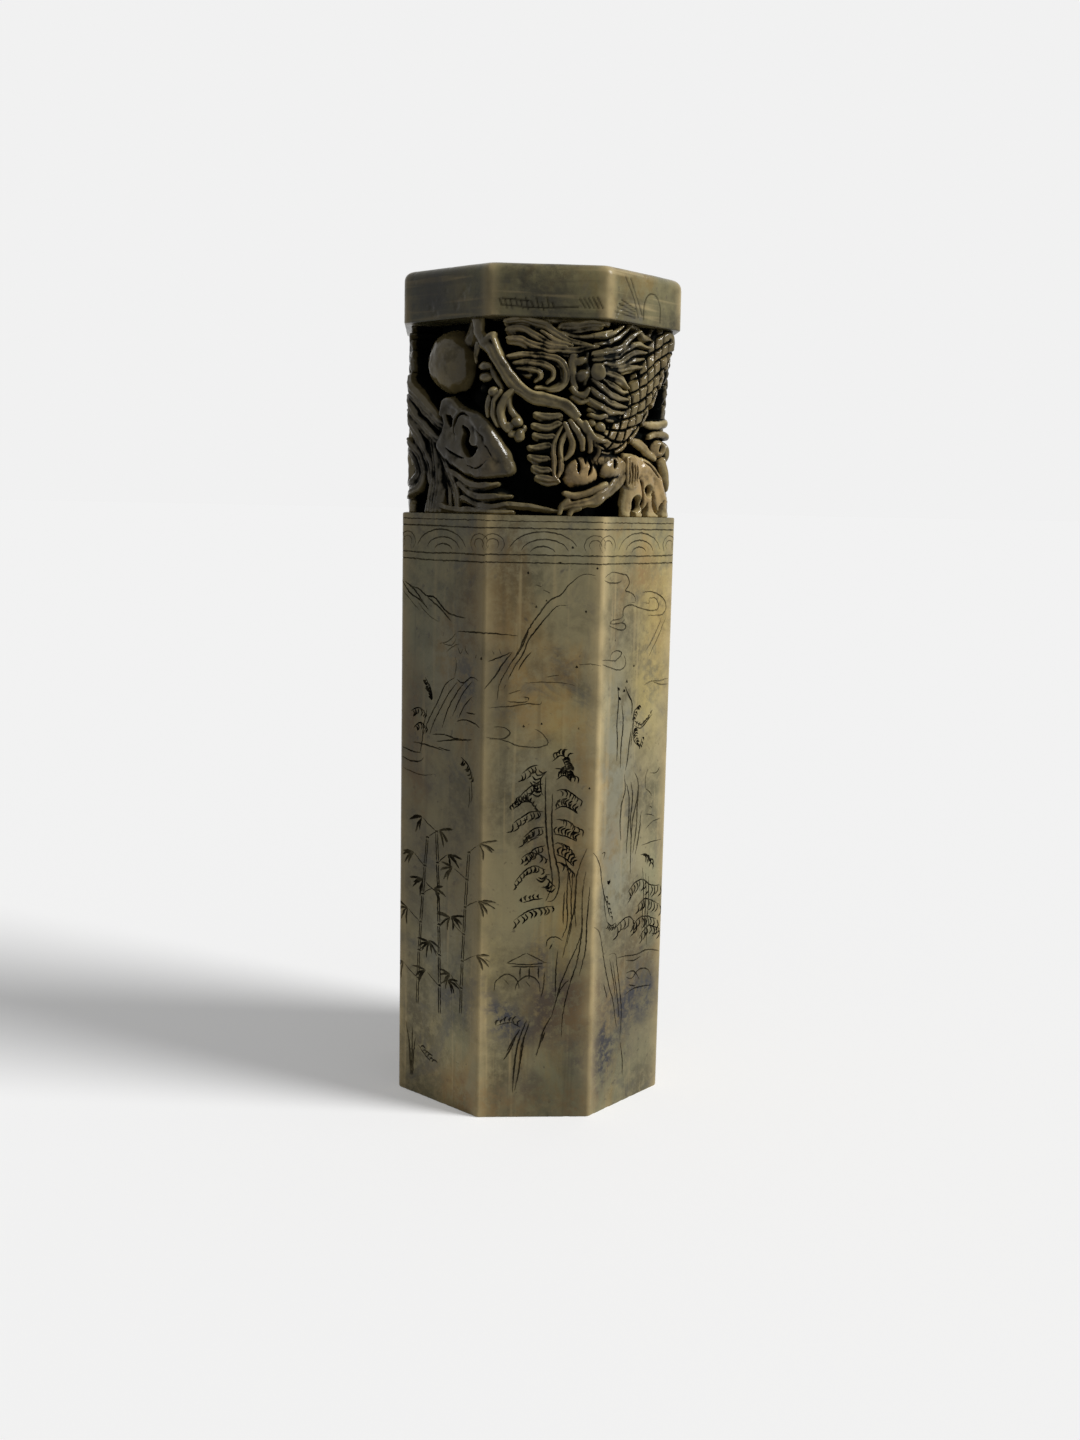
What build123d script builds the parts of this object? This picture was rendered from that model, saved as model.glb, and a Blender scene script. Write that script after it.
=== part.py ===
from build123d import *
from math import cos, pi, radians, sin, tan
import os

# An octagonal stone seal stamp: a plain column with the printing face at its foot, a band carved
# all round with a dragon that chases a pearl among clouds and rocks, and a plain cap slab.
# Millimetres, +Z up. The origin is the middle of the printing face, and the face of the octagon
# that looks along -Y is its front.

os.makedirs("parts", exist_ok=True)

# The block
across_flats = 50.0
column_height = 110.0
band_height = 33.5
cap_thickness = 9.0

# Worn edges of the plain parts
arris_radius = 1.3
cap_top_chamfer = 0.7
foot_chamfer = 0.4

# The printing face, where a border and rows of square spirals stand proud of a sunken field
field_depth = 1.2
border_inset = 1.4
border_width = 1.5
fret_line = 1.3
fret_pitch = 2.6
fret_gap = 1.6

# The carved band, from the polished faces of the block back to the ground
relief_depth = 7.2
crest_inset = 0.6
crest_rub = 0.3
root_bite = 0.5
overrun = 2.0

# The pearl, a ball whose front was rubbed flat with the block's face
pearl_diameter = 10.4
pearl_rub = 0.9

# The dragon
neck_width = 8.6
loin_width = 7.4
rump_width = 5.6
tail_width = 2.6
thigh_diameter = 7.4
knee_diameter = 4.8
shin_width = 3.2
claw_width = 1.6
claw_tip_width = 0.9
claw_knuckle_diameter = 2.3
belly_plate_width = 1.7
head_width = 2.9
brow_width = 1.8
eye_diameter = 3.0
horn_width = 2.3
horn_tip_width = 1.5
mane_width = 1.5
mane_tip_width = 0.9

# Clouds, waves and rocks
cloud_width = 1.7
cloud_tip_width = 1.0
stream_width = 2.0
wave_width = 1.4
sweep_width = 2.4
trunk_width = 6.2
rock_rib_width = 2.4
rock_hole_diameter = 2.3
leaf_hole_diameter = 2.6
cloud_radius = 3.6
wave_radius = 5.4
wave_step = 3.8
wave_rings = 2

# What follows from the sizes above
FACES = 8
TURN = 2 * pi / FACES
apothem = across_flats / 2
face_width = across_flats * tan(TURN / 2)
circumradius = apothem / cos(TURN / 2)
core_apothem = apothem - relief_depth
band_foot = column_height
cap_foot = band_foot + band_height
total_height = cap_foot + cap_thickness

# The bevels of a carved crest, from its middle outwards: out and down, as shares of its half width
flat_bevel_shares = [(0.45, 0), (1, 0.6)]
round_bevel_shares = [(0.3, 0), (0.75, 0.35), (1, 0.9)]
knob_bevel_shares = [(0.3, 0.05), (0.75, 0.35), (1, 0.9)]
knob_sides = 10

# How far a spiral's eye lies from its centre, as a share of its radius
scroll_eye_share = 0.36

# A chip left by a cut is dropped where it is smaller than this share of its carving
chip_share = 0.01


def octagon(half_width):
    """A regular octagon with a flat to the front, by its inscribed radius."""
    return RegularPolygon(half_width, FACES, major_radius=False, rotation=TURN / 2 * 180 / pi)


def prism(half_width, low, high):
    """An upright octagonal prism between two heights."""
    return extrude(Pos(0, 0, low) * octagon(half_width), high - low)


def around(girth, height, depth=0.0):
    """A point of the band. girth counts faces to the right from the middle of the front face,
    height is a share of the band's height, and depth is measured in from the block's face."""
    face = round(girth)
    across = (girth - face) * face_width
    turn = face * TURN
    shrink = 1 - depth / apothem
    x = (apothem * sin(turn) + across * cos(turn)) * shrink
    y = (-apothem * cos(turn) + across * sin(turn)) * shrink
    return Vector(x, y, band_foot + height * band_height)


core = prism(core_apothem, band_foot, cap_foot)
carved_ring = prism(apothem - crest_inset, band_foot, cap_foot) - core
carved = {}
boxes = {}


def overlap(a, b):
    """Whether two boxes share any space."""
    return (
        a.min.X < b.max.X and b.min.X < a.max.X
        and a.min.Y < b.max.Y and b.min.Y < a.max.Y
        and a.min.Z < b.max.Z and b.min.Z < a.max.Z
    )


def carve(name, shapes):
    """Keep one carving under its name: its shapes joined, cut back to the block's face and to the
    ground, and cut by every carving that was kept before it and so lies over it."""
    joined = shapes[0].fuse(*shapes[1:]) if len(shapes) > 1 else shapes[0]
    piece = joined & carved_ring
    box = piece.bounding_box(optimal=False)
    over = [solid for other in carved.values() for solid in other if overlap(box, boxes[id(solid)])]
    if over:
        piece = piece.cut(*over)
    solids = piece.solids()
    largest = max(solid.volume for solid in solids)
    kept = [solid for solid in solids if solid.volume > largest * chip_share]
    carved[name] = kept
    boxes.update({id(solid): solid.bounding_box(optimal=False) for solid in kept})


def section(here, side, away, half, root, rounded):
    """The corners of a strand's cross section: walls down to the root and a bevelled or a rounder crest."""
    bevels = round_bevel_shares if rounded else flat_bevel_shares
    right_side = [here + side * (half * out) - away * (half * down) for out, down in bevels]
    left_side = [here - side * (half * out) - away * (half * down) for out, down in reversed(bevels)]
    right_root = here + side * half - away * root
    left_root = here - side * half - away * root
    return left_side + right_side + [right_root, left_root]


def facet(corners):
    """A flat face through its corners."""
    return Face(Wire.make_polygon(corners, close=True))


def skin(rings):
    """A solid of flat facets through rings of corners, closed by its first and last ring."""
    faces = [facet(rings[0]), facet(rings[-1])]
    for near, far in zip(rings, rings[1:]):
        for here, beyond in zip(range(-1, len(near) - 1), range(len(near))):
            faces.append(facet([near[here], near[beyond], far[here]]))
            faces.append(facet([near[beyond], far[beyond], far[here]]))
    return Solid(Shell(faces))


def strand(places, widths, sink=0.0, steps=1, rounded=False):
    """A ridge that follows places (girth, height) round the band and stands on the ground. Its widths
    run evenly along it, and sink lowers its crest."""
    run = [(girth * face_width, height * band_height) for girth, height in places]
    path = Spline(run) if len(run) > 2 else Line(*run)
    count = steps * (len(places) - 1)
    crest = crest_inset - crest_rub + sink
    root = (relief_depth - crest) / cos(TURN / 2) + root_bite
    rings = []
    for step in range(count + 1):
        share = step / count
        on_sheet = path @ share
        heading = path % share
        girth = on_sheet.X / face_width
        here = around(girth, on_sheet.Y / band_height, crest)
        away = Vector(here.X, here.Y, 0).normalized()
        level = Vector(-away.Y, away.X, 0)
        side = (Vector(0, 0, 1) * heading.X - level * heading.Y).normalized()
        place = share * (len(widths) - 1)
        low = min(int(place), len(widths) - 2)
        width = widths[low] + (widths[low + 1] - widths[low]) * (place - low)
        rings.append(section(here, side, away, width / 2, root, rounded))
    return skin(rings)


def body(places, widths, steps=2):
    """A stretch of the dragon's round body."""
    return strand(places, widths, steps=steps, rounded=True)


def knob(girth, height, diameter, rub=0.0):
    """A boss with a domed crest that stands on the ground, bevelled like a strand."""
    crest = crest_inset - rub
    here = around(girth, height, crest)
    away = Vector(here.X, here.Y, 0).normalized()
    level = Vector(-away.Y, away.X, 0)
    root = (relief_depth - crest) / cos(TURN / 2) + root_bite
    rings = []
    for out, down in knob_bevel_shares + [(1, 2 * root / diameter)]:
        rings.append([
            here + (level * cos(turn) + Vector(0, 0, 1) * sin(turn)) * (diameter / 2 * out) - away * (diameter / 2 * down)
            for turn in [2 * pi * side / knob_sides for side in range(knob_sides)]
        ])
    return skin(rings)


def ball(girth, height, diameter, rub=0.0):
    """A round ball whose crest is rubbed by the block's face."""
    centre = around(girth, height, crest_inset + diameter / 2 - rub)
    away = Vector(centre.X, centre.Y, 0).normalized()
    return Plane(centre, z_dir=away) * Sphere(diameter / 2)


def plate(girth, outline, holes=(), hole_diameter=0.0, sink=0.0):
    """A flat relief cut square to the plane that faces out at girth, its outline given in places."""
    turn = girth * TURN
    across = Vector(cos(turn), sin(turn), 0)
    plane = Plane(origin=(0, 0, 0), x_dir=across, z_dir=Vector(sin(turn), -cos(turn), 0))
    shape = make_face(Spline([(around(g, h).dot(across), around(g, h).Z) for g, h in outline], periodic=True))
    for g, h in holes:
        centre = around(g, h)
        shape -= Pos(centre.dot(across), centre.Z) * Circle(hole_diameter / 2)
    return extrude(plane * shape, circumradius) & prism(apothem - crest_inset - sink, band_foot, cap_foot)


def scroll(girth, height, radius, hand, start=90.0, turns=1.1):
    """Places along a spiral that winds in round a point; hand is 1 for anticlockwise."""
    places = []
    steps = round(turns * FACES)
    for step in range(steps + 1):
        share = step / steps
        angle = radians(start) + hand * turns * 2 * pi * share
        reach = radius * (1 - share * (1 - scroll_eye_share))
        places.append((girth + reach * cos(angle) / face_width, height + reach * sin(angle) / band_height))
    return places


def cloud(girth, height, radius, trails):
    """A cloud head: two spirals that turn away from each other under one brow, and trailing strands."""
    spread = radius / face_width
    widths = (cloud_tip_width, cloud_width, cloud_width, cloud_tip_width)
    shapes = [
        strand(scroll(girth - spread, height, radius, 1), widths, steps=1),
        strand(scroll(girth + spread, height, radius, -1), widths, steps=1),
    ]
    return shapes + [strand(places, (cloud_width, cloud_tip_width)) for places in trails]


def waves(girths, radius):
    """Rows of nested half rings along the band's foot, with a gap between one and the next."""
    shapes = []
    for girth in girths:
        for ring in range(wave_rings):
            reach = radius - ring * wave_step
            angles = [radians(degrees) for degrees in (0, 45, 90, 135, 180)]
            places = [
                (girth + reach * cos(angle) / face_width, reach * sin(angle) / band_height)
                for angle in angles
            ]
            shapes.append(strand(places, (wave_width, wave_width), sink=ring * wave_width / 2))
    return shapes


# The shaft, with the printing face cut into its foot
def square_spiral(x, y):
    """One square spiral of the fret, by its middle: a bar along each of its turns."""
    turn_shares = [(-1.5, -1.5), (1.5, -1.5), (1.5, 1.5), (-0.5, 1.5), (-0.5, -0.5), (0.5, -0.5)]
    bars = []
    for (a, b), (c, d) in zip(turn_shares, turn_shares[1:]):
        middle = Pos(x + (a + c) / 2 * fret_pitch, y + (b + d) / 2 * fret_pitch)
        long = abs(c - a) * fret_pitch + fret_line
        tall = abs(d - b) * fret_pitch + fret_line
        bars.append(middle * Rectangle(long, tall))
    return bars[0].fuse(*bars[1:])


def printing_face():
    """What stands proud of the sunken field: an octagonal border and rows of square spirals."""
    inner = apothem - border_inset - border_width
    border = octagon(apothem - border_inset) - octagon(inner)
    reach = 3 * fret_pitch + fret_line + fret_gap
    marks = [square_spiral(column * reach, row * reach) for column in (-1, 0, 1) for row in (-1, 0, 1)]
    bar_length = 3 * fret_pitch + fret_line
    bar_place = 1.5 * reach + fret_line / 2
    for quarter in range(4):
        for column in (-1, 0, 1):
            bar = Pos(column * reach, bar_place) * Rectangle(bar_length, fret_line)
            marks.append(Rot(0, 0, quarter * 90) * bar)
    return [border] + marks


def shaft():
    """The plain octagonal column with softened arrises and the printing face at its foot."""
    block = prism(apothem, 0, column_height)
    block = fillet(block.edges().filter_by(Axis.Z), arris_radius)
    block = chamfer(block.faces().sort_by(Axis.Z)[0].edges(), foot_chamfer)
    field = extrude(octagon(apothem - border_inset), field_depth)
    proud = [extrude(mark, field_depth) for mark in printing_face()]
    return block - field.cut(*proud)


def cap():
    """The slab on top of the band, its upper edge rounded by wear."""
    slab = prism(apothem, cap_foot, total_height)
    slab = fillet(slab.edges().filter_by(Axis.Z), arris_radius)
    return chamfer(slab.faces().sort_by(Axis.Z)[-1].edges(), cap_top_chamfer)


# The pearl and what lies foremost on the seen side
carve("pearl", [ball(-0.93, 0.79, pearl_diameter, pearl_rub)])

horn_beam_shares = [
    (-0.60, 0.86), (-0.44, 0.82), (-0.34, 0.73), (-0.24, 0.66), (-0.10, 0.605), (0.05, 0.59), (0.24, 0.51),
]
horn_left_tine_shares = [(-0.58, 0.84), (-0.63, 0.91), (-0.65, 0.98)]
horn_right_tine_shares = [(-0.56, 0.84), (-0.50, 0.90), (-0.47, 0.94)]
carve("horn", [
    strand(horn_beam_shares, (horn_width, horn_width, horn_tip_width)),
    strand(horn_left_tine_shares, (horn_width, horn_tip_width)),
    strand(horn_right_tine_shares, (horn_width, horn_tip_width)),
])

front_claw_shares = [
    [(-0.31, 0.62), (-0.28, 0.52), (-0.22, 0.42)],
    [(-0.43, 0.58), (-0.38, 0.49), (-0.31, 0.40)],
    [(-0.19, 0.58), (-0.17, 0.50), (-0.14, 0.43)],
]
claw_widths = (claw_width, claw_width, claw_tip_width)
carve("front_claws", [
    *[strand(places, claw_widths) for places in front_claw_shares],
    knob(-0.46, 0.63, claw_knuckle_diameter),
])

snout_shares = [(0.31, 0.60), (0.25, 0.67), (0.28, 0.74), (0.33, 0.81)]
brow_shares = [(0.22, 0.56), (0.34, 0.57), (0.50, 0.51)]
cheek_shares = [(0.27, 0.45), (0.34, 0.39), (0.46, 0.37), (0.56, 0.41)]
jaw_shares = [(0.19, 0.40), (0.30, 0.34), (0.47, 0.32)]
carve("dragon_head", [
    strand(snout_shares, (head_width, head_width, brow_width)),
    strand(brow_shares, (brow_width, brow_width)),
    knob(0.39, 0.46, eye_diameter),
    strand(cheek_shares, (brow_width, brow_width)),
    strand(jaw_shares, (brow_width, head_width, brow_width)),
])

mane_root_shares = [
    (0.41, 0.80), (0.42, 0.775), (0.43, 0.75), (0.44, 0.725), (0.44, 0.70), (0.44, 0.67), (0.44, 0.62),
]
mane_tip_shares = [
    (0.94, 0.87), (0.96, 0.80), (0.84, 0.73), (0.74, 0.66), (0.69, 0.60), (0.72, 0.55), (0.63, 0.52),
]
lock_lift_share = 0.025


def lock(root, tip):
    """One lock of hair, bowed upwards between its root and its tip."""
    middle = ((root[0] + tip[0]) / 2, (root[1] + tip[1]) / 2 + lock_lift_share)
    return strand([root, middle, tip], (mane_width, mane_width, mane_tip_width))


carve("mane", [lock(root, tip) for root, tip in zip(mane_root_shares, mane_tip_shares)])

carve("haunch", [knob(0.31, 0.22, thigh_diameter, pearl_rub), knob(0.60, 0.22, knee_diameter)])

front_foot_shares = [(0.72, 0.18), (0.60, 0.12), (0.46, 0.07), (0.30, 0.055), (0.15, 0.05)]
front_spur_shares = [(0.46, 0.13), (0.28, 0.11), (0.12, 0.12)]
carve("front_foot", [
    body(front_foot_shares, (shin_width, shin_width, claw_tip_width)),
    strand(front_spur_shares, (claw_width, claw_tip_width)),
])

belly_left_share = -0.16
belly_right_share = 0.10
belly_bow_share = 0.012
belly_height_shares = (0.49, 0.43, 0.37, 0.31, 0.26, 0.21)


def belly_plate(height):
    """One of the plates across the dragon's belly, by its height."""
    middle = ((belly_left_share + belly_right_share) / 2, height - belly_bow_share)
    places = [(belly_left_share, height), middle, (belly_right_share, height + belly_bow_share)]
    return strand(places, (belly_plate_width, belly_plate_width))


carve("belly_plates", [belly_plate(height) for height in belly_height_shares])

# The body, which arches under the cap and runs on round the back to its tail
neck_shares = [
    (0.52, 0.31), (0.62, 0.37), (0.77, 0.47), (1.01, 0.63), (1.21, 0.79), (1.36, 0.91), (1.50, 0.93),
]
back_shares = [
    (1.36, 0.91), (1.50, 0.92), (1.67, 0.82), (1.84, 0.64),
    (2.05, 0.44), (2.36, 0.31), (2.68, 0.36), (2.92, 0.52),
]
loin_shares = [
    (2.68, 0.36), (2.92, 0.52), (3.13, 0.70), (3.43, 0.80),
    (3.73, 0.70), (3.95, 0.50), (4.20, 0.35), (4.50, 0.30),
]
tail_shares = [
    (4.20, 0.35), (4.50, 0.30), (4.80, 0.40), (5.01, 0.58), (5.25, 0.68), (5.48, 0.62), (5.66, 0.46),
]
carve("dragon_neck", [body(neck_shares, (knee_diameter, neck_width, neck_width, neck_width))])
carve("dragon_back", [body(back_shares, (loin_width, loin_width))])
carve("dragon_loin", [body(loin_shares, (loin_width, loin_width, rump_width))])
carve("dragon_tail", [body(tail_shares, (rump_width, rump_width, tail_width, claw_tip_width))])

fin_root_shares = [(5.05, 0.64), (5.25, 0.72), (5.48, 0.66), (5.60, 0.54)]
fin_tip_shares = [(5.02, 0.84), (5.32, 0.90), (5.66, 0.80), (5.80, 0.56)]
carve("tail_fin", [lock(root, tip) for root, tip in zip(fin_root_shares, fin_tip_shares)])

claw_bend_share = 0.55


def leg(hip, knee, ankle, toes):
    """A hind leg: a round thigh, a shin and four claws, by the places of its joints and claw tips."""
    shapes = [
        knob(*hip, thigh_diameter, pearl_rub),
        body([hip, knee, ankle], (thigh_diameter, shin_width, shin_width)),
    ]
    for toe in toes:
        bend_girth = ankle[0] + (toe[0] - ankle[0]) * claw_bend_share
        bend_height = ankle[1] + (toe[1] - ankle[1]) * claw_bend_share
        shapes.append(strand([ankle, (bend_girth, bend_height), toe], claw_widths))
    return shapes


right_leg_shares = ((2.52, 0.46), (2.74, 0.62), (2.66, 0.76))
right_toe_shares = [(2.48, 0.90), (2.62, 0.95), (2.76, 0.94), (2.88, 0.85)]
left_leg_shares = ((3.84, 0.50), (3.70, 0.34), (3.62, 0.20))
left_toe_shares = [(3.44, 0.16), (3.50, 0.07), (3.64, 0.04), (3.76, 0.10)]
carve("right_hind_leg", leg(*right_leg_shares, right_toe_shares))
carve("left_hind_leg", leg(*left_leg_shares, left_toe_shares))

# The clouds of the seen side
stream_shares = [
    [(-0.34, 0.94), (-0.19, 0.93), (-0.05, 0.885), (0.145, 0.85), (0.36, 0.84)],
    [(-0.15, 0.965), (-0.02, 0.94), (0.10, 0.91), (0.25, 0.90)],
    [(0.39, 0.83), (0.56, 0.87), (0.77, 0.955)],
    [(0.42, 0.90), (0.54, 0.93), (0.66, 0.96)],
    [(0.18, 0.955), (0.29, 0.96), (0.40, 0.955)],
]
carve("top_cloud", [strand(places, (cloud_width, stream_width, cloud_width)) for places in stream_shares])

scroll_outer_shares = [(-0.27, 0.79), (-0.08, 0.82), (0.09, 0.79), (0.13, 0.71), (0.05, 0.66), (-0.10, 0.65)]
scroll_inner_shares = [(-0.20, 0.74), (-0.07, 0.76), (0.01, 0.72), (-0.05, 0.69)]
carve("scroll_cloud", [
    strand(scroll_outer_shares, (cloud_width, cloud_width)),
    strand(scroll_inner_shares, (cloud_tip_width, cloud_width, cloud_tip_width)),
])

leaf_outline_shares = [
    (-1.01, 0.54), (-0.89, 0.58), (-0.68, 0.52), (-0.53, 0.45), (-0.36, 0.36), (-0.26, 0.27),
    (-0.28, 0.20), (-0.43, 0.165), (-0.63, 0.18), (-0.82, 0.22), (-0.99, 0.32),
]
leaf_hole_shares = [(-0.88, 0.48), (-0.70, 0.40), (-0.66, 0.30)]
leaf_stalk_shares = [(-0.55, 0.50), (-0.62, 0.62), (-0.52, 0.70)]
carve("leaf_cloud", [
    plate(-0.5, leaf_outline_shares, leaf_hole_shares, leaf_hole_diameter),
    strand(leaf_stalk_shares, (cloud_width, cloud_tip_width)),
])

upper_sweep_shares = [(-1.40, 0.66), (-1.26, 0.52), (-1.11, 0.39), (-0.98, 0.26)]
lower_sweep_shares = [(-1.43, 0.52), (-1.22, 0.33), (-1.12, 0.22), (-1.10, 0.12)]
trunk_shares = [(-1.10, 0.20), (-1.09, 0.10), (-1.07, 0.02)]
spray_shares = [
    [(-0.94, 0.24), (-0.90, 0.16), (-0.86, 0.09)],
    [(-0.86, 0.20), (-0.66, 0.13), (-0.39, 0.09)],
    [(-0.82, 0.10), (-0.58, 0.06), (-0.29, 0.05)],
]
carve("sweeping_wave", [
    body(upper_sweep_shares, (sweep_width, sweep_width)),
    body(lower_sweep_shares, (sweep_width, sweep_width)),
    body(trunk_shares, (sweep_width, trunk_width)),
    *[strand(places, (cloud_width, cloud_tip_width)) for places in spray_shares],
])

# The rocks
rock_outline_shares = [
    (0.74, 0.27), (0.90, 0.31), (1.06, 0.29), (1.20, 0.24), (1.30, 0.14), (1.32, 0.03), (1.00, 0.015),
    (0.66, 0.02), (0.62, 0.08), (0.73, 0.14),
]
rock_hole_shares = [(1.08, 0.16), (0.90, 0.085), (0.88, 0.21)]
rock_rib_shares = [(1.35, 0.40), (1.37, 0.26), (1.38, 0.12), (1.42, 0.04)]
rock_ledge_shares = [(1.12, 0.40), (1.26, 0.44), (1.44, 0.47)]
carve("pierced_rock", [
    plate(1, rock_outline_shares, rock_hole_shares, rock_hole_diameter),
    strand(rock_rib_shares, (rock_rib_width, cloud_width)),
    strand(rock_ledge_shares, (rock_rib_width, rock_rib_width)),
])

left_rock_outline_shares = [
    (5.72, 0.02), (5.70, 0.14), (5.78, 0.24), (5.90, 0.34), (6.04, 0.40), (6.18, 0.37), (6.28, 0.26),
    (6.36, 0.12), (6.38, 0.02), (6.05, 0.01),
]
left_rock_hole_shares = [(5.88, 0.14), (6.06, 0.27), (6.20, 0.12)]
left_rock_rib_shares = [(5.86, 0.50), (6.04, 0.53), (6.24, 0.48), (6.40, 0.34)]
carve("left_rock", [
    plate(6, left_rock_outline_shares, left_rock_hole_shares, rock_hole_diameter),
    strand(left_rock_rib_shares, (cloud_tip_width, rock_rib_width, cloud_width)),
])

# The clouds and waves of the sides that the body runs through
cloud_shares = {
    "side_cloud": (2.14, 0.80),
    "low_cloud": (3.20, 0.38),
    "back_cloud": (4.46, 0.74),
    "tail_cloud": (5.26, 0.36),
    "left_cloud": (6.14, 0.78),
}
cloud_trail_shares = {
    "side_cloud": [[(2.30, 0.90), (2.38, 0.96)], [(1.98, 0.90), (1.86, 0.95)], [(2.14, 0.66), (2.24, 0.56)]],
    "low_cloud": [[(3.06, 0.28), (2.90, 0.20), (2.74, 0.18)], [(3.36, 0.28), (3.46, 0.36)]],
    "back_cloud": [
        [(4.60, 0.84), (4.74, 0.92), (4.88, 0.93)],
        [(4.30, 0.84), (4.16, 0.92), (4.00, 0.92)],
        [(4.46, 0.60), (4.60, 0.52)],
    ],
    "tail_cloud": [[(5.10, 0.26), (4.96, 0.22)], [(5.40, 0.26), (5.56, 0.22)]],
    "left_cloud": [
        [(6.28, 0.88), (6.42, 0.93), (6.52, 0.93)],
        [(6.00, 0.88), (5.88, 0.94)],
        [(6.28, 0.68), (6.42, 0.66)],
    ],
}
for cloud_name, (cloud_girth, cloud_height) in cloud_shares.items():
    carve(cloud_name, cloud(cloud_girth, cloud_height, cloud_radius, cloud_trail_shares[cloud_name]))

side_wave_shares = (1.78, 2.26, 2.74, 3.20)
back_wave_shares = (4.06, 4.54, 5.02, 5.48)
carve("side_waves", waves(side_wave_shares, wave_radius))
carve("back_waves", waves(back_wave_shares, wave_radius))

pieces = {"column": [shaft()], "band_core": [core], "cap_slab": [cap()]} | carved
for name, solids in pieces.items():
    export_step(solids[0] if len(solids) == 1 else Compound(solids), f"parts/{name}.step")
print(f"{len(pieces)} pieces, {total_height} mm tall, {across_flats} mm across flats")
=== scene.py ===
import math
import bpy
import numpy as np
import openvdb
from mathutils import Matrix, Vector, kdtree
from mathutils.geometry import delaunay_2d_cdt


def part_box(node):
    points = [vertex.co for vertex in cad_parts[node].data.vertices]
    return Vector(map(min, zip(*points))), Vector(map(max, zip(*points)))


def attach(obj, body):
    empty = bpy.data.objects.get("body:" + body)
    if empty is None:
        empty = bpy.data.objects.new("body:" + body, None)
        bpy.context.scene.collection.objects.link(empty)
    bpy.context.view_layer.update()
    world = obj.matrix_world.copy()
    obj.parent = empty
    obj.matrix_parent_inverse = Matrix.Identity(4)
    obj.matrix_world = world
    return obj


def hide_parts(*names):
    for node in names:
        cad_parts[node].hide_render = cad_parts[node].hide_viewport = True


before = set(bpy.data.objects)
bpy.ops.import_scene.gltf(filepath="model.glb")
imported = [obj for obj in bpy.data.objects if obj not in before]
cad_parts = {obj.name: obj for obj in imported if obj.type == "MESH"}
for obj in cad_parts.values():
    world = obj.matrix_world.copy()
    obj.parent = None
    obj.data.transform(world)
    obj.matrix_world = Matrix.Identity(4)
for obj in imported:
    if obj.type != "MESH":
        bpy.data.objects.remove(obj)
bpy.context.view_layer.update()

# The block's sizes, in millimetres, from the frame
MM = 0.001
FACES = 8
TURN = math.tau / FACES
_, column_high = [np.array(corner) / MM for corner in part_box("column")]
cap_low, cap_high = [np.array(corner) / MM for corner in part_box("cap_slab")]
_, core_high = [np.array(corner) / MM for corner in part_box("band_core")]
apothem = column_high[0]
column_height = column_high[2]
cap_foot = cap_low[2]
total_height = cap_high[2]
band_height = cap_foot - column_height
ground_depth = apothem - core_high[0]
face_width = apothem * 2 * math.tan(TURN / 2)
girth = FACES * face_width

# Worn edges
arris_radius = 1.3
cap_top_radius = 1.6
foot_radius = 0.3
arris_reach = arris_radius * math.tan(TURN / 2)

rng = np.random.default_rng(7)


# Meshes
def make_object(name, points, faces, node, material):
    """A smooth mesh object from points in millimetres, which stands for a CAD node."""
    mesh = bpy.data.meshes.new(name)
    mesh.from_pydata((np.asarray(points) * MM).tolist(), [], faces)
    mesh.validate()
    mesh.update()
    mesh.polygons.foreach_set("use_smooth", [True] * len(mesh.polygons))
    mesh.materials.append(material)
    obj = bpy.data.objects.new(name, mesh)
    bpy.context.scene.collection.objects.link(obj)
    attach(obj, "root")
    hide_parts(node)
    return obj


def paint(obj, name, values):
    """Keep one number per point on the mesh, for its material."""
    layer = obj.data.attributes.new(name, "FLOAT", "POINT")
    layer.data.foreach_set("value", np.asarray(values, dtype=np.float32))


def paint_faces(obj, name, values):
    """Keep one number per face on the mesh: the highest of its points."""
    mesh = obj.data
    corners = np.empty(len(mesh.loops), dtype=np.int32)
    mesh.loops.foreach_get("vertex_index", corners)
    starts = np.empty(len(mesh.polygons), dtype=np.int32)
    mesh.polygons.foreach_get("loop_start", starts)
    highest = np.maximum.reduceat(values[corners], starts)
    counts = np.diff(np.append(starts, len(corners)))
    layer = mesh.attributes.new(name, "FLOAT", "CORNER")
    layer.data.foreach_set("value", np.repeat(highest, counts).astype(np.float32))


def on_block(u, z, depth, inset, radius=arris_radius):
    """Points of the block from its unrolled faces, and the way its surface faces there. u runs to the
    right from the middle of the front face, and depth is measured in towards the block's axis. The
    arrises are rounded to the radius."""
    half = face_width / 2
    reach = radius * math.tan(TURN / 2)
    face = np.floor(u / face_width + 0.5)
    along = u - face * face_width
    beyond = np.clip(np.abs(along) - (half - reach), 0, reach)
    bend = beyond / reach * TURN / 2
    side = np.sign(along)
    flat = np.minimum(np.abs(along), half - reach)
    x = side * (flat + radius * np.sin(bend))
    y = -(apothem - radius) - radius * np.cos(bend)
    shrink = 1 - (depth + inset) / apothem
    turn = face * TURN
    points = np.stack([(x * np.cos(turn) - y * np.sin(turn)) * shrink,
                       (x * np.sin(turn) + y * np.cos(turn)) * shrink,
                       np.broadcast_to(z, x.shape)], axis=-1)
    aim = turn + side * bend
    normals = np.stack([np.sin(aim), -np.cos(aim), np.zeros_like(aim)], axis=-1)
    return points, normals


def arc(u, z, wide, tall, start, stop, count=7):
    """Points along part of an ellipse, between two angles."""
    return [(u + wide * math.cos(a), z + tall * math.sin(a)) for a in np.linspace(start, stop, count)]


# Engraving
stroke_step = 0.45
line_width = {"fine": 0.20, "line": 0.27, "bold": 0.35, "brush": 0.52}
line_depth_share = 0.4
line_unevenness = 0.12
thin_end = 0.35
pale_end = 0.75
needle_spacing = 1.35
strokes = []


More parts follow.
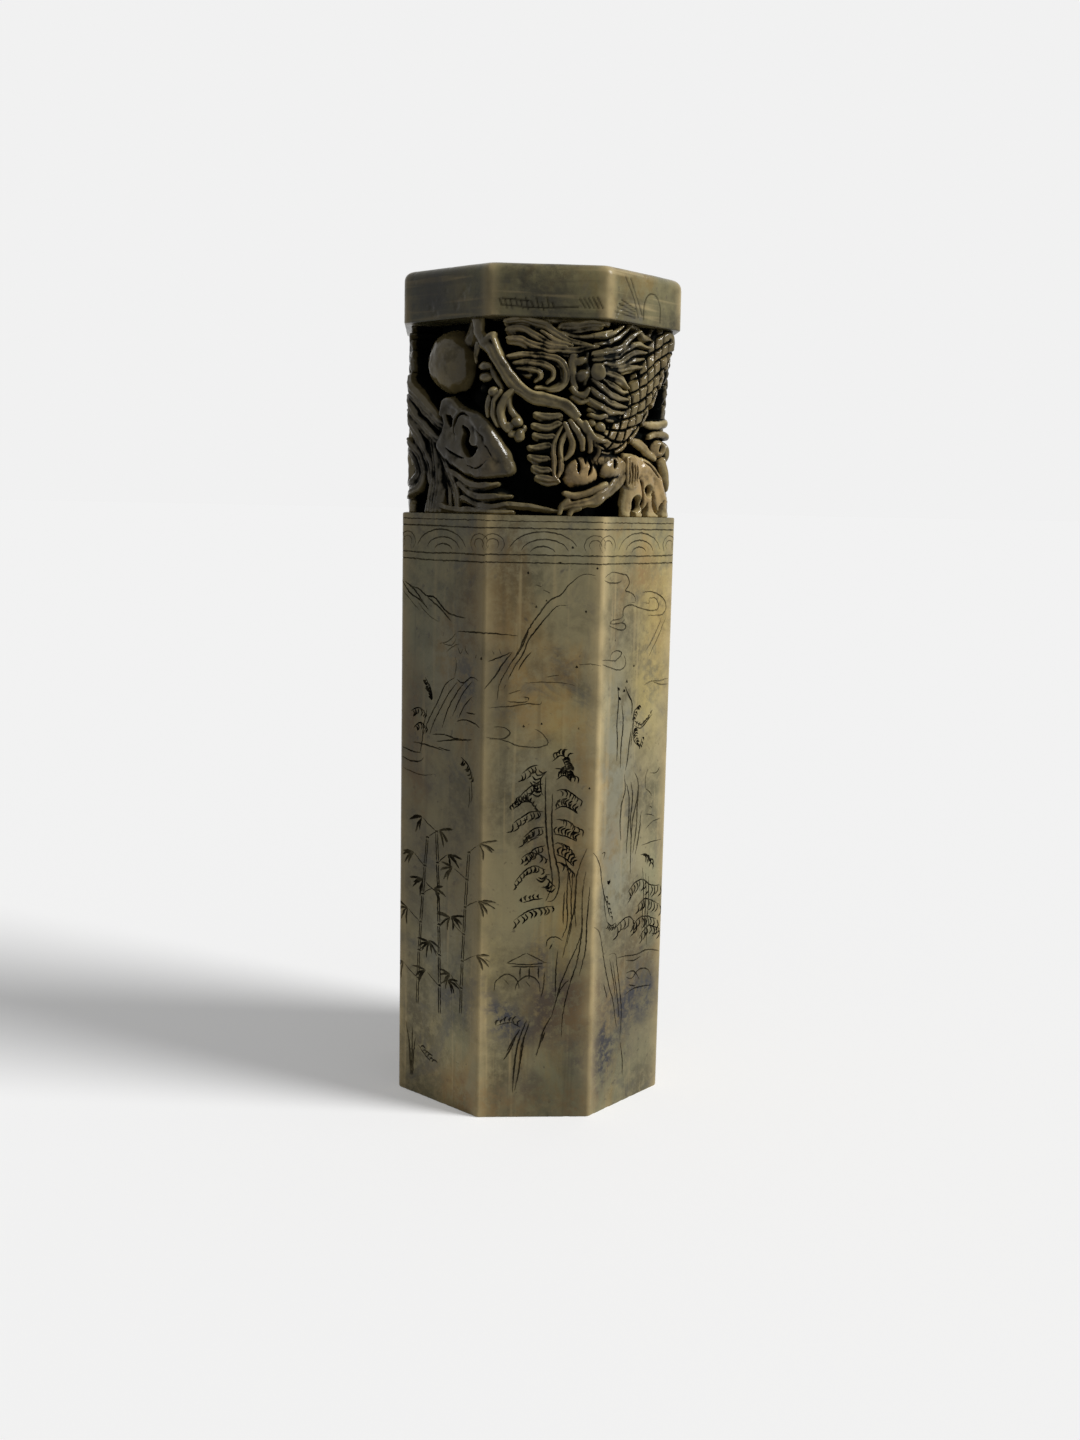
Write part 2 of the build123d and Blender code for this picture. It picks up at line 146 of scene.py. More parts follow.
def smooth_path(points, step):
    """Points along a Catmull-Rom curve through the given ones, about step apart."""
    points = np.asarray(points, dtype=float)
    padded = np.vstack([2 * points[0] - points[1], points, 2 * points[-1] - points[-2]])
    path = []
    for a, b, c, d in zip(padded, padded[1:], padded[2:], padded[3:]):
        count = max(1, int(np.ceil(np.linalg.norm(c - b) / step)))
        t = np.linspace(0, 1, count, endpoint=False)[:, None]
        path.append(0.5 * (2 * b + (c - a) * t + (2 * a - 5 * b + 4 * c - d) * t ** 2
                           + (3 * b - a - 3 * c + d) * t ** 3))
    return np.vstack(path + [points[-1:]])


def scratch(points, width="line", ink=0.8, taper=0.35, wobble=0.06):
    """One needle line: a path on the unrolled faces with a groove that swells and thins along it."""
    path = smooth_path(points, stroke_step)
    if len(path) < 3:
        path = smooth_path(points, stroke_step / 2)
    if len(path) < 3:
        return
    path = path + rng.normal(0, wobble / 2, path.shape)
    share = np.linspace(0, 1, len(path))
    ends = np.clip(np.minimum(share, 1 - share) / taper, 0, 1) ** 0.6
    uneven = 1 + rng.normal(0, line_unevenness, len(path))
    half = line_width[width] / 2 * (thin_end + (1 - thin_end) * ends) * uneven
    strokes.append((path, half, ink * (pale_end + (1 - pale_end) * ends)))


def many(paths, width="line", ink=0.8):
    """Several needle lines of one width."""
    for path in paths:
        scratch(path, width, ink)


def comb(spine, length, lean, gap, width="bold", ink=1.0, curl=0.35):
    """A branch with a row of curved needles or leaves along it."""
    path = smooth_path(spine, gap * needle_spacing)
    scratch(spine, "line", ink)
    for place in path[1:]:
        size = length * (0.9 + 0.45 * rng.random())
        angle = math.radians(lean + rng.normal(0, 9))
        tip = place + size * np.array([math.cos(angle), math.sin(angle)])
        swing = np.array([-math.sin(angle), math.cos(angle)]) * size * curl
        scratch([place, (place + tip) / 2 + swing, tip], width, ink)


# The border under the carving
border_low = 101.8
border_high = 109.0
border_arches = ((6.3, 3.9), (4.3, 2.6), (2.3, 1.4))
border_scrolls = (2.0, 1.1)
scroll_place = 9.0


def arch_border():
    """Two pairs of ruled lines, and between them nested arches with small scrolls."""
    for z in (border_low, border_low + 1.3, border_high - 1.2, border_high):
        for face in range(FACES):
            edge = face_width * (face - 0.5)
            drift = rng.normal(0, 0.05, 4)
            scratch([(edge + face_width * t, z + d) for t, d in zip((-0.01, 0.33, 0.66, 1.01), drift)],
                    "line" if z < border_high else "fine", 0.75, taper=0.02)
    floor = border_low + 1.5
    for face in range(FACES):
        middle = face * face_width
        for reach, lift in border_arches:
            skew = rng.normal(0, 0.25)
            scratch(arc(middle + skew, floor, reach, lift, math.radians(12), math.radians(168)), "line", 0.8)
        for side in (-1, 1):
            for reach in border_scrolls:
                eye = middle + side * scroll_place
                scratch(arc(eye, floor + 1.6, reach, reach * 0.9, math.radians(-50), math.radians(230)),
                        "fine", 0.6)


# The landscape: hills, trees, huts and water, each drawn from its foot at u and z
def mountain(u, z, wide, tall, lean=0.0, ink=0.6):
    """A steep hill: a broken outline and the falling lines that shade its flank."""
    peak = (u + lean, z + tall)
    left = [(u - wide / 2, z), (u - wide * 0.34, z + tall * 0.42), (u - wide * 0.12, z + tall * 0.82), peak]
    right = [peak, (u + wide * 0.12, z + tall * 0.86), (u + wide * 0.3, z + tall * 0.5),
             (u + wide / 2, z + tall * 0.1)]
    scratch(left, "line", ink)
    scratch(right, "line", ink)
    for k in range(5):
        top = z + tall * (0.8 - 0.13 * k)
        start = u + lean * 0.6 + wide * (0.02 + 0.05 * k)
        flank = [(start, top), (start - wide * 0.07, top - tall * 0.2),
                 (start - wide * 0.17, top - tall * 0.38)]
        scratch(flank, "fine", ink * 0.9)


def ripples(u, z, wide, rows, ink=0.45):
    """Short level lines of water."""
    for row in range(rows):
        reach = wide * (0.5 + 0.5 * rng.random())
        start = u - reach / 2 + rng.normal(0, wide * 0.12)
        y = z + row * 1.1 + rng.normal(0, 0.15)
        scratch([(start, y), (start + reach * 0.4, y + 0.18), (start + reach, y - 0.1)], "fine", ink)


def pavilion(u, z, wide, ink=0.85):
    """A small open hut: curved eaves, a low roof and posts behind round boulders."""
    half = wide / 2
    many([
        [(u - half, z + 3.0), (u - half * 0.4, z + 4.2), (u, z + 5.0)],
        [(u, z + 5.0), (u + half * 0.45, z + 4.1), (u + half, z + 3.1)],
        [(u - half - 0.3, z + 3.1), (u, z + 2.8), (u + half + 0.3, z + 3.2)],
        [(u - half * 0.8, z + 2.4), (u + half * 0.8, z + 2.4)],
        [(u - half * 0.3, z + 2.4), (u - half * 0.3, z)],
        [(u + half * 0.15, z + 2.4), (u + half * 0.15, z)],
        [(u + half * 0.6, z + 2.4), (u + half * 0.62, z)],
    ], "line", ink)


def boulder(u, z, wide, tall, ink=0.8):
    """A round stone with one crease."""
    outline = [(u - wide / 2, z), (u - wide * 0.42, z + tall * 0.6), (u, z + tall),
               (u + wide * 0.4, z + tall * 0.65), (u + wide / 2, z)]
    scratch(outline, "line", ink)
    scratch([(u - wide * 0.1, z + tall * 0.7), (u + wide * 0.1, z + tall * 0.35)], "fine", ink * 0.7)


def pine(u, z, tall, lean=0.0, ink=1.0):
    """A leaning pine: a doubled trunk and combs of needles on short branches to both sides."""
    trunk = [(u, z), (u + 0.5 + lean * 0.2, z + tall * 0.3), (u + lean * 0.7, z + tall * 0.65),
             (u + lean, z + tall)]
    scratch(trunk, "bold", ink)
    scratch([(x + 0.9 - 0.02 * k, y) for k, (x, y) in enumerate(trunk)], "line", ink * 0.9)
    for k in range(8):
        share = 0.22 + 0.1 * k
        base_u = u + lean * share + 0.3
        base_z = z + tall * share
        side = 1 if k % 2 else -1
        reach = (4.6 - 0.35 * k) * (0.8 + 0.3 * rng.random())
        spine = [(base_u, base_z), (base_u + side * reach * 0.5, base_z + 0.9),
                 (base_u + side * reach, base_z + 0.3)]
        comb(spine, 1.7, -75 if side > 0 else -105, 0.62, "bold", ink)
    tuft = [(u + lean - 1.2, z + tall - 0.6), (u + lean, z + tall + 0.6), (u + lean + 1.2, z + tall - 0.4)]
    comb(tuft, 1.4, 80, 0.5, "bold", ink)


def willow(u, z, tall, ink=0.95):
    """A palm-like willow: slim trunks and long curved fronds with hanging leaves."""
    scratch([(u, z), (u + 0.4, z + tall * 0.5), (u + 0.2, z + tall)], "bold", ink)
    scratch([(u + 1.6, z), (u + 1.5, z + tall * 0.5), (u + 1.2, z + tall * 0.9)], "line", ink)
    for k in range(4):
        base = z + tall * (0.36 + 0.2 * k)
        reach = 5.4 - 0.7 * k
        left = [(u + 0.3, base), (u - reach * 0.5, base + 1.3), (u - reach, base - 0.4)]
        right = [(u + 0.6, base - 0.6), (u + reach * 0.5, base + 0.7), (u + reach, base - 0.6)]
        comb(left, 1.6, -70, 0.7, "bold", ink, 0.3)
        comb(right, 1.5, -115, 0.7, "bold", ink, -0.3)


def bamboo(u, z, tall, bend, ink=0.9, leaves=7):
    """A bamboo stem in jointed lengths, with sprays of pointed leaves."""
    joints = 6
    places = [(u + bend * (k / joints) ** 1.6, z + tall * k / joints) for k in range(joints + 1)]
    for (a, b), (c, d) in zip(places, places[1:]):
        scratch([(a, b + 0.25), ((a + c) / 2 + 0.05, (b + d) / 2), (c, d - 0.1)], "line", ink, taper=0.1)
        scratch([(a + 0.5, b + 0.25), ((a + c) / 2 + 0.5, (b + d) / 2), (c + 0.45, d - 0.1)], "line", ink,
                taper=0.1)
        scratch([(c - 0.25, d), (c + 0.3, d + 0.12), (c + 0.75, d)], "bold", ink, taper=0.2)
    for k in range(leaves):
        x, y = places[1 + k * joints // leaves]
        side = 1 if k % 2 else -1
        twig = (x + side * (2.2 + rng.random() * 1.6), y + 1.6 + rng.random())
        scratch([(x + 0.2, y), ((x + twig[0]) / 2, y + 1.0), twig], "fine", ink)
        for n in range(4):
            angle = math.radians(-90 + side * (18 + 24 * n) + rng.normal(0, 8))
            size = 2.6 + rng.random() * 1.2
            tip = (twig[0] + size * math.cos(angle), twig[1] + size * math.sin(angle))
            belly = ((twig[0] + tip[0]) / 2 + 0.25 * side, (twig[1] + tip[1]) / 2 + 0.15)
            scratch([twig, belly, tip], "brush", ink, taper=0.5)


def grass(u, z, tall, blades, ink=0.8):
    """Blades that spread from one foot."""
    for k in range(blades):
        spread = (k - blades / 2) * 0.7
        top = tall * (0.6 + 0.5 * rng.random())
        scratch([(u + spread * 0.3, z), (u + spread * 0.6, z + top * 0.6), (u + spread * 1.3, z + top)],
                "bold", ink)


def left_face():
    """Left of the front face: ridges, a cliff, a hatched slope with a tree, and water."""
    many([
        [(-31.5, 98), (-29, 95.5), (-26.5, 94.4), (-24, 92.6)],
        [(-30.5, 97.6), (-28, 96.3), (-26.2, 94.6), (-25, 93.4)],
        [(-29, 96.6), (-27, 96.4), (-24.6, 95.2), (-22.5, 94.9), (-19.4, 92.6), (-16.5, 91.9), (-14.6, 91.8)],
        [(-24.4, 94.9), (-22.6, 94.0), (-20.4, 92.6), (-18.3, 90.9)],
    ], "bold", 0.9)
    many([
        [(-31, 96), (-28.6, 94), (-26.4, 92.4)],
        [(-27.2, 94.2), (-24.4, 91.9), (-21.4, 90.6)],
        [(-21.2, 86.7), (-18.8, 87.5), (-16.8, 89.2)],
        [(-20.6, 86.9), (-18.2, 86.7), (-16.9, 88.0)],
        [(-19.4, 85.4), (-17.6, 86.6), (-15.9, 87.2)],
        [(-16.6, 86.6), (-15.9, 85.4), (-15.2, 86.4)],
        [(-14.8, 87.2), (-14.6, 86), (-13.8, 85.3)],
        [(-17.2, 84.9), (-16.9, 83.2), (-17.3, 81.1)],
        [(-12.4, 84.6), (-11.9, 85.6)],
    ], "fine", 0.6)
    scratch([(-16.8, 89.3), (-13, 89.4), (-9, 89.4), (-4.2, 89.0)], "line", 0.9)
    many([
        [(-17.2, 81), (-19.6, 79.4), (-21.6, 76), (-23.8, 72.6), (-25.4, 69.2)],
        [(-16.4, 80.4), (-18.8, 77.8), (-21, 74.6), (-22.8, 71.6), (-23.6, 69.8)],
        [(-14.4, 80.6), (-16.4, 78.6), (-18.8, 75.2), (-20.4, 71.4)],
        [(-12.8, 80.8), (-15.4, 78), (-17.8, 73.8)],
        [(-12.8, 78), (-14.8, 76), (-16.4, 73.3)],
        [(-17.2, 80.8), (-15.2, 80.2), (-13, 81.4), (-11.3, 80.9)],
    ], "line", 0.85)
    many([
        [(-14.4, 74.9), (-12, 74.9)],
        [(-17, 73), (-14.6, 73.6), (-12, 73.1), (-10.8, 72.4)],
        [(-23.6, 69.8), (-20.2, 70.3), (-16.4, 69.9), (-12.6, 70.2)],
        [(-22, 68.8), (-17.4, 69.6), (-13, 70)],
        [(-21.4, 67.8), (-18, 67.5)],
        [(-28, 68), (-25.2, 67.9), (-22, 67.6), (-19.8, 67.3)],
        [(-31, 66.8), (-28, 66.2), (-25.6, 66.2)],
        [(-31, 65), (-28.6, 64.4), (-26, 64.6), (-24.8, 65.8)],
        [(-26, 66), (-25.4, 69), (-25, 72), (-24.2, 74.6)],
    ], "line", 0.9)
    comb([(-28.6, 73.6), (-26.8, 74.5), (-24.6, 74)], 1.2, -100, 0.6)
    comb([(-27.8, 70.6), (-26.2, 71.8), (-24.8, 71.4)], 1.1, -80, 0.6)
    comb([(-24.9, 80.4), (-23.6, 78.6), (-22.8, 76.9)], 0.9, 190, 0.45, "brush")
    comb([(-15.6, 66.8), (-13.8, 65.6), (-12.4, 63.6)], 1.1, 230, 0.6)
    many([
        [(-13.4, 62), (-13.2, 59.4), (-13.6, 57)],
        [(-12.8, 63), (-12.6, 60), (-13, 58.4)],
        [(-31, 63), (-28, 62.3), (-25, 62.1), (-22.4, 62.6)],
    ], "fine", 0.7)


def left_foot():
    """Low on the left face: a spray of bamboo and blades of grass."""
    bamboo(-26.5, 17.5, 33, 2.4, 0.85, 6)
    bamboo(-20.5, 17, 35, -1.2, 0.95, 7)
    bamboo(-15, 18.5, 31, 1.6, 0.75, 6)
    grass(-27.5, 3.2, 11, 4, 0.8)
    comb([(-26, 10), (-24, 8.4), (-22.2, 7.4)], 1.3, 10, 0.7, "bold", 0.8)


def front_ridge():
    """On the front face: the tall ridge, sand bars and the lake."""
    many([
        [(9.2, 99.8), (6.8, 99.9), (4.4, 98), (3.2, 96.4), (1.2, 95.3), (-0.6, 93), (-2, 91), (-3.2, 88.6),
         (-4.2, 86.2), (-5.8, 83.6), (-7.4, 80.4), (-7.8, 77.4)],
        [(4.2, 94.5), (2.6, 94.4), (1, 92.8), (-0.6, 90.8), (-2.4, 88.4), (-3.4, 85.8), (-5, 83.2),
         (-6.6, 79.6)],
        [(-5.2, 86.2), (-6.6, 84.4), (-8.4, 81.6), (-10.2, 79.4)],
        [(-1.8, 86.3), (-3.2, 84.6), (-4.2, 82.8)],
        [(-2.4, 90), (-3.6, 87), (-4.8, 85)],
        [(-9.6, 84.4), (-7.4, 85.2), (-5.4, 86.2)],
    ], "line", 0.9)
    many([
        [(-8.8, 86.4), (-8.2, 85.4)], [(-7.6, 86.8), (-7.2, 85.6)],
        [(-0.2, 97.2), (1.6, 96.4)], [(-1.4, 98), (-0.2, 97.7)],
        [(-3.4, 80.7), (0.4, 80.9), (3.6, 80.8), (6.2, 80.3)],
        [(0.4, 81.8), (3.2, 82.2)],
        [(-6.2, 78.6), (-3.2, 79.6)],
        [(6.2, 84), (8.6, 84.2), (11, 83.8)],
    ], "fine", 0.6)
    many([
        [(-9.4, 76.2), (-5.4, 76.5), (-2.4, 77), (-0.2, 76.9), (0.1, 77.6)],
        [(-6.2, 77.4), (-3.6, 77.2), (-2.2, 77.5)],
        [(-3.4, 78.3), (-2.2, 78), (-2.4, 77.5)],
        [(-9.8, 71), (-6.4, 70.4), (-3.8, 69.4), (-0.6, 69.2), (1.2, 69.7), (1.2, 70.6), (0.2, 71.8),
         (-1.2, 72.6)],
        [(-8.6, 72.8), (-6.4, 72.7), (-5.4, 71.8), (-6.4, 70.8), (-9.2, 70.6)],
    ], "line", 0.7)


def front_tree():
    """The tall tree on the front face, with combs of needles on its branches."""
    many([
        [(1.1, 64.2), (1.2, 58), (1.6, 52.6), (2.2, 48.6), (2.7, 44.4), (2.0, 42), (1.6, 41)],
        [(2.4, 61), (2.4, 55), (2.8, 50.6), (3.8, 46.4), (3.9, 43.4), (3.0, 41.3), (1.8, 41)],
    ], "bold", 0.9)
    comb([(0.4, 57), (-1.4, 59.2), (-3, 59.2), (-4.8, 57.8)], 1.1, 100, 0.55)
    comb([(0.8, 60.4), (0.2, 62), (0.4, 63.8), (1.4, 65)], 1.5, 170, 0.6)
    comb([(2.8, 57.8), (4.2, 58.6), (5.6, 58.2), (7, 57.2)], 1.3, 80, 0.5)
    comb([(2.6, 53.6), (4.4, 53.2), (5.8, 52.8), (7, 52)], 1.4, 62, 0.5)
    comb([(3, 63.4), (4.4, 64.2), (5.8, 63)], 1.4, 68, 0.55)
    comb([(2.2, 66.6), (3.6, 67.8), (5, 67.2)], 1.2, 72, 0.5)
    comb([(0.2, 53), (-1.2, 52.4), (-2.2, 51.6)], 1.0, 96, 0.6)
    comb([(2, 48.6), (0.4, 49.6), (-1.4, 50), (-3, 49)], 1.2, 262, 0.7)
    comb([(1.6, 46.8), (-0.6, 47.6), (-2.6, 46.4), (-4.2, 44.4)], 1.3, 258, 0.8)
    comb([(2.6, 46), (1.4, 45.8), (3.4, 43.6)], 1.5, 200, 0.6)
    comb([(3.2, 49.8), (5, 49), (6.6, 47.4)], 1.6, 56, 0.6)
    comb([(3.4, 40.2), (1, 39.9), (-1.6, 39.2), (-4.2, 37.4)], 1.3, 278, 0.75)
    comb([(1.2, 41.6), (-0.4, 41.4), (-2.6, 40.8)], 1.0, 92, 0.7)
    comb([(3.8, 67.4), (4.6, 66), (4.8, 64)], 1.2, -10, 0.45, "brush")
    for spine in ([(-0.2, 66.0), (-1.6, 65.7), (-3.2, 64.4)],
                  [(0.8, 62.6), (-1.0, 62.4), (-2.8, 61.0), (-3.8, 59.6)],
                  [(0.9, 57.6), (-1.6, 57.4), (-4.6, 55.4)], [(1.2, 54.8), (-0.8, 54.4), (-2.8, 52.8)],
                  [(1.4, 51.4), (-0.6, 50.8), (-2.0, 49.2)]):
        comb(spine, 1.6, 248, 0.6, "line")
    for spine in ([(2.6, 65.4), (4.2, 65.3), (6.0, 64.2)], [(3.0, 61.4), (4.8, 61.6), (6.8, 60.2)],
                  [(3.0, 56.2), (5.0, 56.0), (7.0, 54.6)], [(2.8, 51.6), (4.2, 51.8), (5.8, 50.4)],
                  [(3.2, 48.4), (4.6, 48.0), (6.0, 46.6)]):
        comb(spine, 1.5, -64, 0.6, "line")


def front_cliff():
    """The cliff beside the tree, the rocks at its foot, and a hut among boulders."""
    many([
        [(5.6, 47.2), (5.4, 42), (5.6, 37), (4.6, 34)],
        [(6.4, 46.4), (6.2, 41.4), (6.3, 36.4), (5.5, 32.6)],
        [(7.2, 45.4), (6.9, 40), (7.2, 36.2)],
        [(5, 43), (4.8, 39), (4.9, 36.6)],
        [(1.8, 32.4), (2.2, 34), (3.6, 34.4), (5, 33.6)],
        [(2.4, 32), (3, 33.2)],
        [(8.4, 36), (7.6, 33), (6, 29.2), (4.6, 25.4), (3.8, 22), (3.0, 19)],
        [(6.2, 26.4), (4.8, 24.8), (4, 22.8)],
        [(4, 32), (3.7, 27), (3.8, 23)],
        [(9.0, 51.0), (7.9, 48.6), (7.0, 45.0), (6.8, 40.0), (5.8, 35.0), (4.8, 30.0)],
        [(8.8, 47.0), (8.2, 42.0), (8.3, 36.0), (7.6, 30.0), (6.2, 25.0), (5.2, 20.0), (5.0, 15.0)],
        [(9.6, 44.0), (9.2, 38.0), (9.0, 32.0), (8.0, 27.0)],
        [(4.6, 50.0), (5.6, 46.4), (6.2, 42.6)],
    ], "line", 0.85)
    many([
        [(3.2, 19.6), (1.8, 17), (1, 14), (0.4, 11.6)],
        [(2.0, 16.6), (1.4, 14.6)],
        [(-0.8, 18.6), (-2.2, 14), (-2.6, 9.6), (-3.4, 5)],
        [(-1.4, 18.8), (-3, 14), (-3.6, 9), (-3.8, 4.6)],
        [(-1.8, 15.4), (-2.6, 10)],
        [(-3.2, 16), (-4.4, 13), (-5.6, 11)],
        [(-2.6, 17), (-4, 14.6), (-5, 12.6)],
    ], "bold", 0.85)
    comb([(-2.2, 17), (-4.4, 18.2), (-7, 17.6)], 1.2, 75, 0.8, "bold", 0.8)
    pavilion(-1.7, 26.4, 7.4)
    boulder(-5.2, 24.2, 4.6, 3.2)
    boulder(-1.3, 23.8, 4.6, 3.3)
    scratch([(1.6, 28), (1.5, 25), (1.0, 22.6)], "line", 0.7)
    scratch([(-9.4, 30.4), (-8.2, 29.6)], "fine", 0.6)


def right_sky():
    """High on the right face: scrolling clouds and a slanted cliff edge."""
    many([
        [(10.6, 99.3), (13, 100.3), (15.4, 100), (17.4, 99.6), (18, 98.2), (17, 97), (18.4, 96.6),
         (19.8, 95.8), (19.8, 94.8), (18.6, 94.9)],
        [(10.8, 99), (12.4, 98.5), (14.6, 98.4), (15.9, 98.8)],
        [(21.6, 96.5), (24.4, 96.6), (26.8, 96), (28.6, 95), (29.3, 93.4), (28.2, 92.3), (26, 92.2),
         (23.4, 92.3)],
        [(22.2, 94.8), (24, 94.4), (24.2, 95.4), (26, 95.3), (27, 94), (26.4, 93.2), (24, 93.2), (21, 93.8),
         (18.6, 94.4), (16.6, 93.8), (16.2, 92.2), (13.4, 91.8), (12.8, 91.3), (15, 91.1), (16.9, 91.7),
         (17, 92.2)],
        [(12.4, 91), (14.6, 90.2), (16.8, 90), (17.4, 90.6), (16.4, 91.2), (13.2, 91.2)],
        [(10.8, 84.9), (13, 84.7), (14.8, 84.6), (16.4, 85.8), (14.8, 86.3), (13.4, 85.8), (13.2, 84.8)],
        [(10.8, 84.2), (13.2, 83.4), (15.6, 82.8), (17.2, 83.2), (17.6, 84.4), (16.9, 85.6)],
    ], "line", 0.75)
    many([
        [(28.2, 92), (27, 90), (25, 87.4), (23, 85.3)],
        [(27.4, 90.4), (25.6, 88), (23.6, 85.8)],
        [(29.4, 91.8), (27.4, 88.6), (25.6, 86.2), (24.4, 84.6)],
        [(22.8, 79.4), (25.4, 80), (28, 79.9), (31, 80.3)],
        [(25.4, 80.2), (28, 79.3), (31, 79.1)],
    ], "line", 0.6)


def right_rocks():
    """Hanging rocks with tufts on them."""
    many([
        [(15.4, 80), (15.9, 77.4), (15.6, 73.4), (15.9, 69), (15.8, 66)],
        [(16.9, 76.4), (17.4, 73), (17.0, 68.6), (16.9, 64.6)],
        [(17.6, 79.8), (18.8, 78), (19.8, 76.6), (19.9, 74.2)],
        [(20, 72), (19.4, 69), (19, 66), (18.4, 64)],
        [(20.6, 75), (20.3, 71.6), (19.8, 68.4)],
        [(20.4, 73.2), (22.8, 72.2), (24.4, 73), (26.2, 73.8)],
    ], "bold", 0.85)
    for u, z in ((15.8, 79.2), (17.4, 78.8), (18.1, 80.4), (16.2, 77.4)):
        scratch([(u - 0.35, z), (u, z + 0.2), (u + 0.35, z - 0.1)], "brush", 1.0, taper=0.1)
    comb([(20.4, 71.4), (20.8, 69.6), (21.6, 68.6)], 1.2, 20, 0.45, "bold")
    comb([(20, 73), (20.8, 75), (21.6, 75.6)], 1.0, -20, 0.5, "bold")
    comb([(20.6, 72.3), (22.8, 71.6), (25.8, 73.6)], 1.0, 58, 0.7, "line")
    comb([(21, 69), (22.6, 68.4), (23.2, 69.8)], 0.8, -60, 0.6, "bold")
    many([
        [(18.2, 63.6), (18.6, 60.6), (17.6, 57.6), (17.4, 54), (17.8, 51)],
        [(18.8, 62), (19.8, 59), (19.9, 54.4), (19.5, 50), (19.6, 48.2)],
        [(20.2, 62), (20.9, 58.6), (20.4, 54.6), (20.9, 50.4)],
        [(21, 63.8), (22.4, 61.6), (22.2, 58.2), (21, 54), (20.8, 48.6), (20.9, 44.2)],
        [(22.8, 61), (22.4, 57.2), (22.3, 53), (21.4, 48)],
        [(23.6, 56), (23.2, 52), (22.2, 47.6)],
    ], "bold", 0.8)
    many([
        [(24.6, 60), (26, 59.2), (26.8, 58.2)], [(24.8, 55), (26.4, 54.8), (27.8, 54.2)],
        [(26, 56.4), (27.2, 56)], [(25, 52), (27, 53.2), (30, 53.6)],
        [(25.4, 63.8), (24.6, 61.8), (24.8, 59.6)], [(26, 62.8), (28, 62.6), (29, 63.6)],
        [(23.6, 49.2), (27, 49.4), (30.6, 49.4)],
    ], "fine", 0.8)


def right_willow():
    """Long drooping fronds over banks and boulders."""
    comb([(23.8, 47.4), (25.6, 47.2), (27, 45.4)], 1.8, -62, 0.6)
    comb([(20, 40.4), (22, 42.2), (24.6, 42.6), (27.4, 41), (30.4, 40.4)], 2.0, -112, 0.9)
    comb([(23, 37.4), (25.4, 38.6), (27.6, 38), (30.4, 36.6)], 1.9, -110, 0.85)
    comb([(16.4, 34.4), (18.4, 35.6), (20.8, 36.1), (23, 34.6)], 2.2, -118, 1.1)
    comb([(21.4, 33.4), (24, 35.2), (26.6, 35), (29.6, 33.8)], 2.1, -112, 0.9)
    comb([(24, 31), (26.4, 33), (28.6, 32.6), (31, 31.6)], 1.8, -105, 0.9)
    many([
        [(24.6, 45), (25.2, 40), (25, 35), (25.2, 30.4)],
        [(26.6, 43), (26.8, 38), (26.4, 33), (26.6, 29)],
        [(25.6, 44), (26, 39.6), (25.8, 34), (25.9, 30)],
        [(17.4, 28.8), (20.4, 28.6), (23.4, 28.2), (27, 28.4), (31, 27.2)],
        [(20.2, 27.8), (22.8, 27.2), (25.2, 27.6)],
        [(28, 31.4), (29.6, 31), (31, 31.6)],
        [(20.2, 24.6), (22.2, 23.8), (24, 24.9), (25.6, 25), (27.4, 24.3), (28.4, 22.8)],
        [(20.2, 21), (22.8, 21.6), (26, 21.4), (28.6, 21)],
        [(20.4, 25.2), (22.8, 25.1), (24.8, 23)],
        [(21, 22.8), (23.6, 22)],
    ], "line", 0.85)


def right_cliff():
    """The cliff that falls beside the arris, with two tufts."""
    many([
        [(9.4, 50.8), (11, 48.8), (12, 46.8), (12.4, 44.4), (13.2, 41.6), (13.6, 38.8), (14.4, 36)],
        [(10.4, 36.4), (12.2, 34.8), (13.2, 31.4), (14.2, 27.6), (15.4, 24), (16.8, 20.6), (17.6, 17),
         (18.4, 14)],
        [(14.8, 30), (17, 29.8), (17.6, 27.6), (18.6, 23), (19.4, 18), (19.2, 12.4)],
        [(15.4, 29.2), (16.6, 25), (17.6, 20.8)],
        [(16.4, 28.4), (17.4, 24), (18.3, 19.6), (18.9, 15.8)],
        [(19.4, 12), (20.1, 8.4), (20.3, 5)],
        [(13.8, 24.8), (15, 21.6)],
        [(12.2, 49.6), (13.2, 49.6), (12.8, 48.4)],
    ], "line", 0.8)
    comb([(13.2, 42), (14.2, 39.6), (15.2, 37.2)], 0.9, -40, 0.7, "bold", 0.9)
    comb([(14.2, 36.6), (15.6, 35.4), (17, 35.8)], 1.0, 220, 0.6, "bold", 0.9)
    scratch([(14, 44.2), (14.6, 43.6), (14.9, 44.4)], "brush", 1.0, taper=0.1)


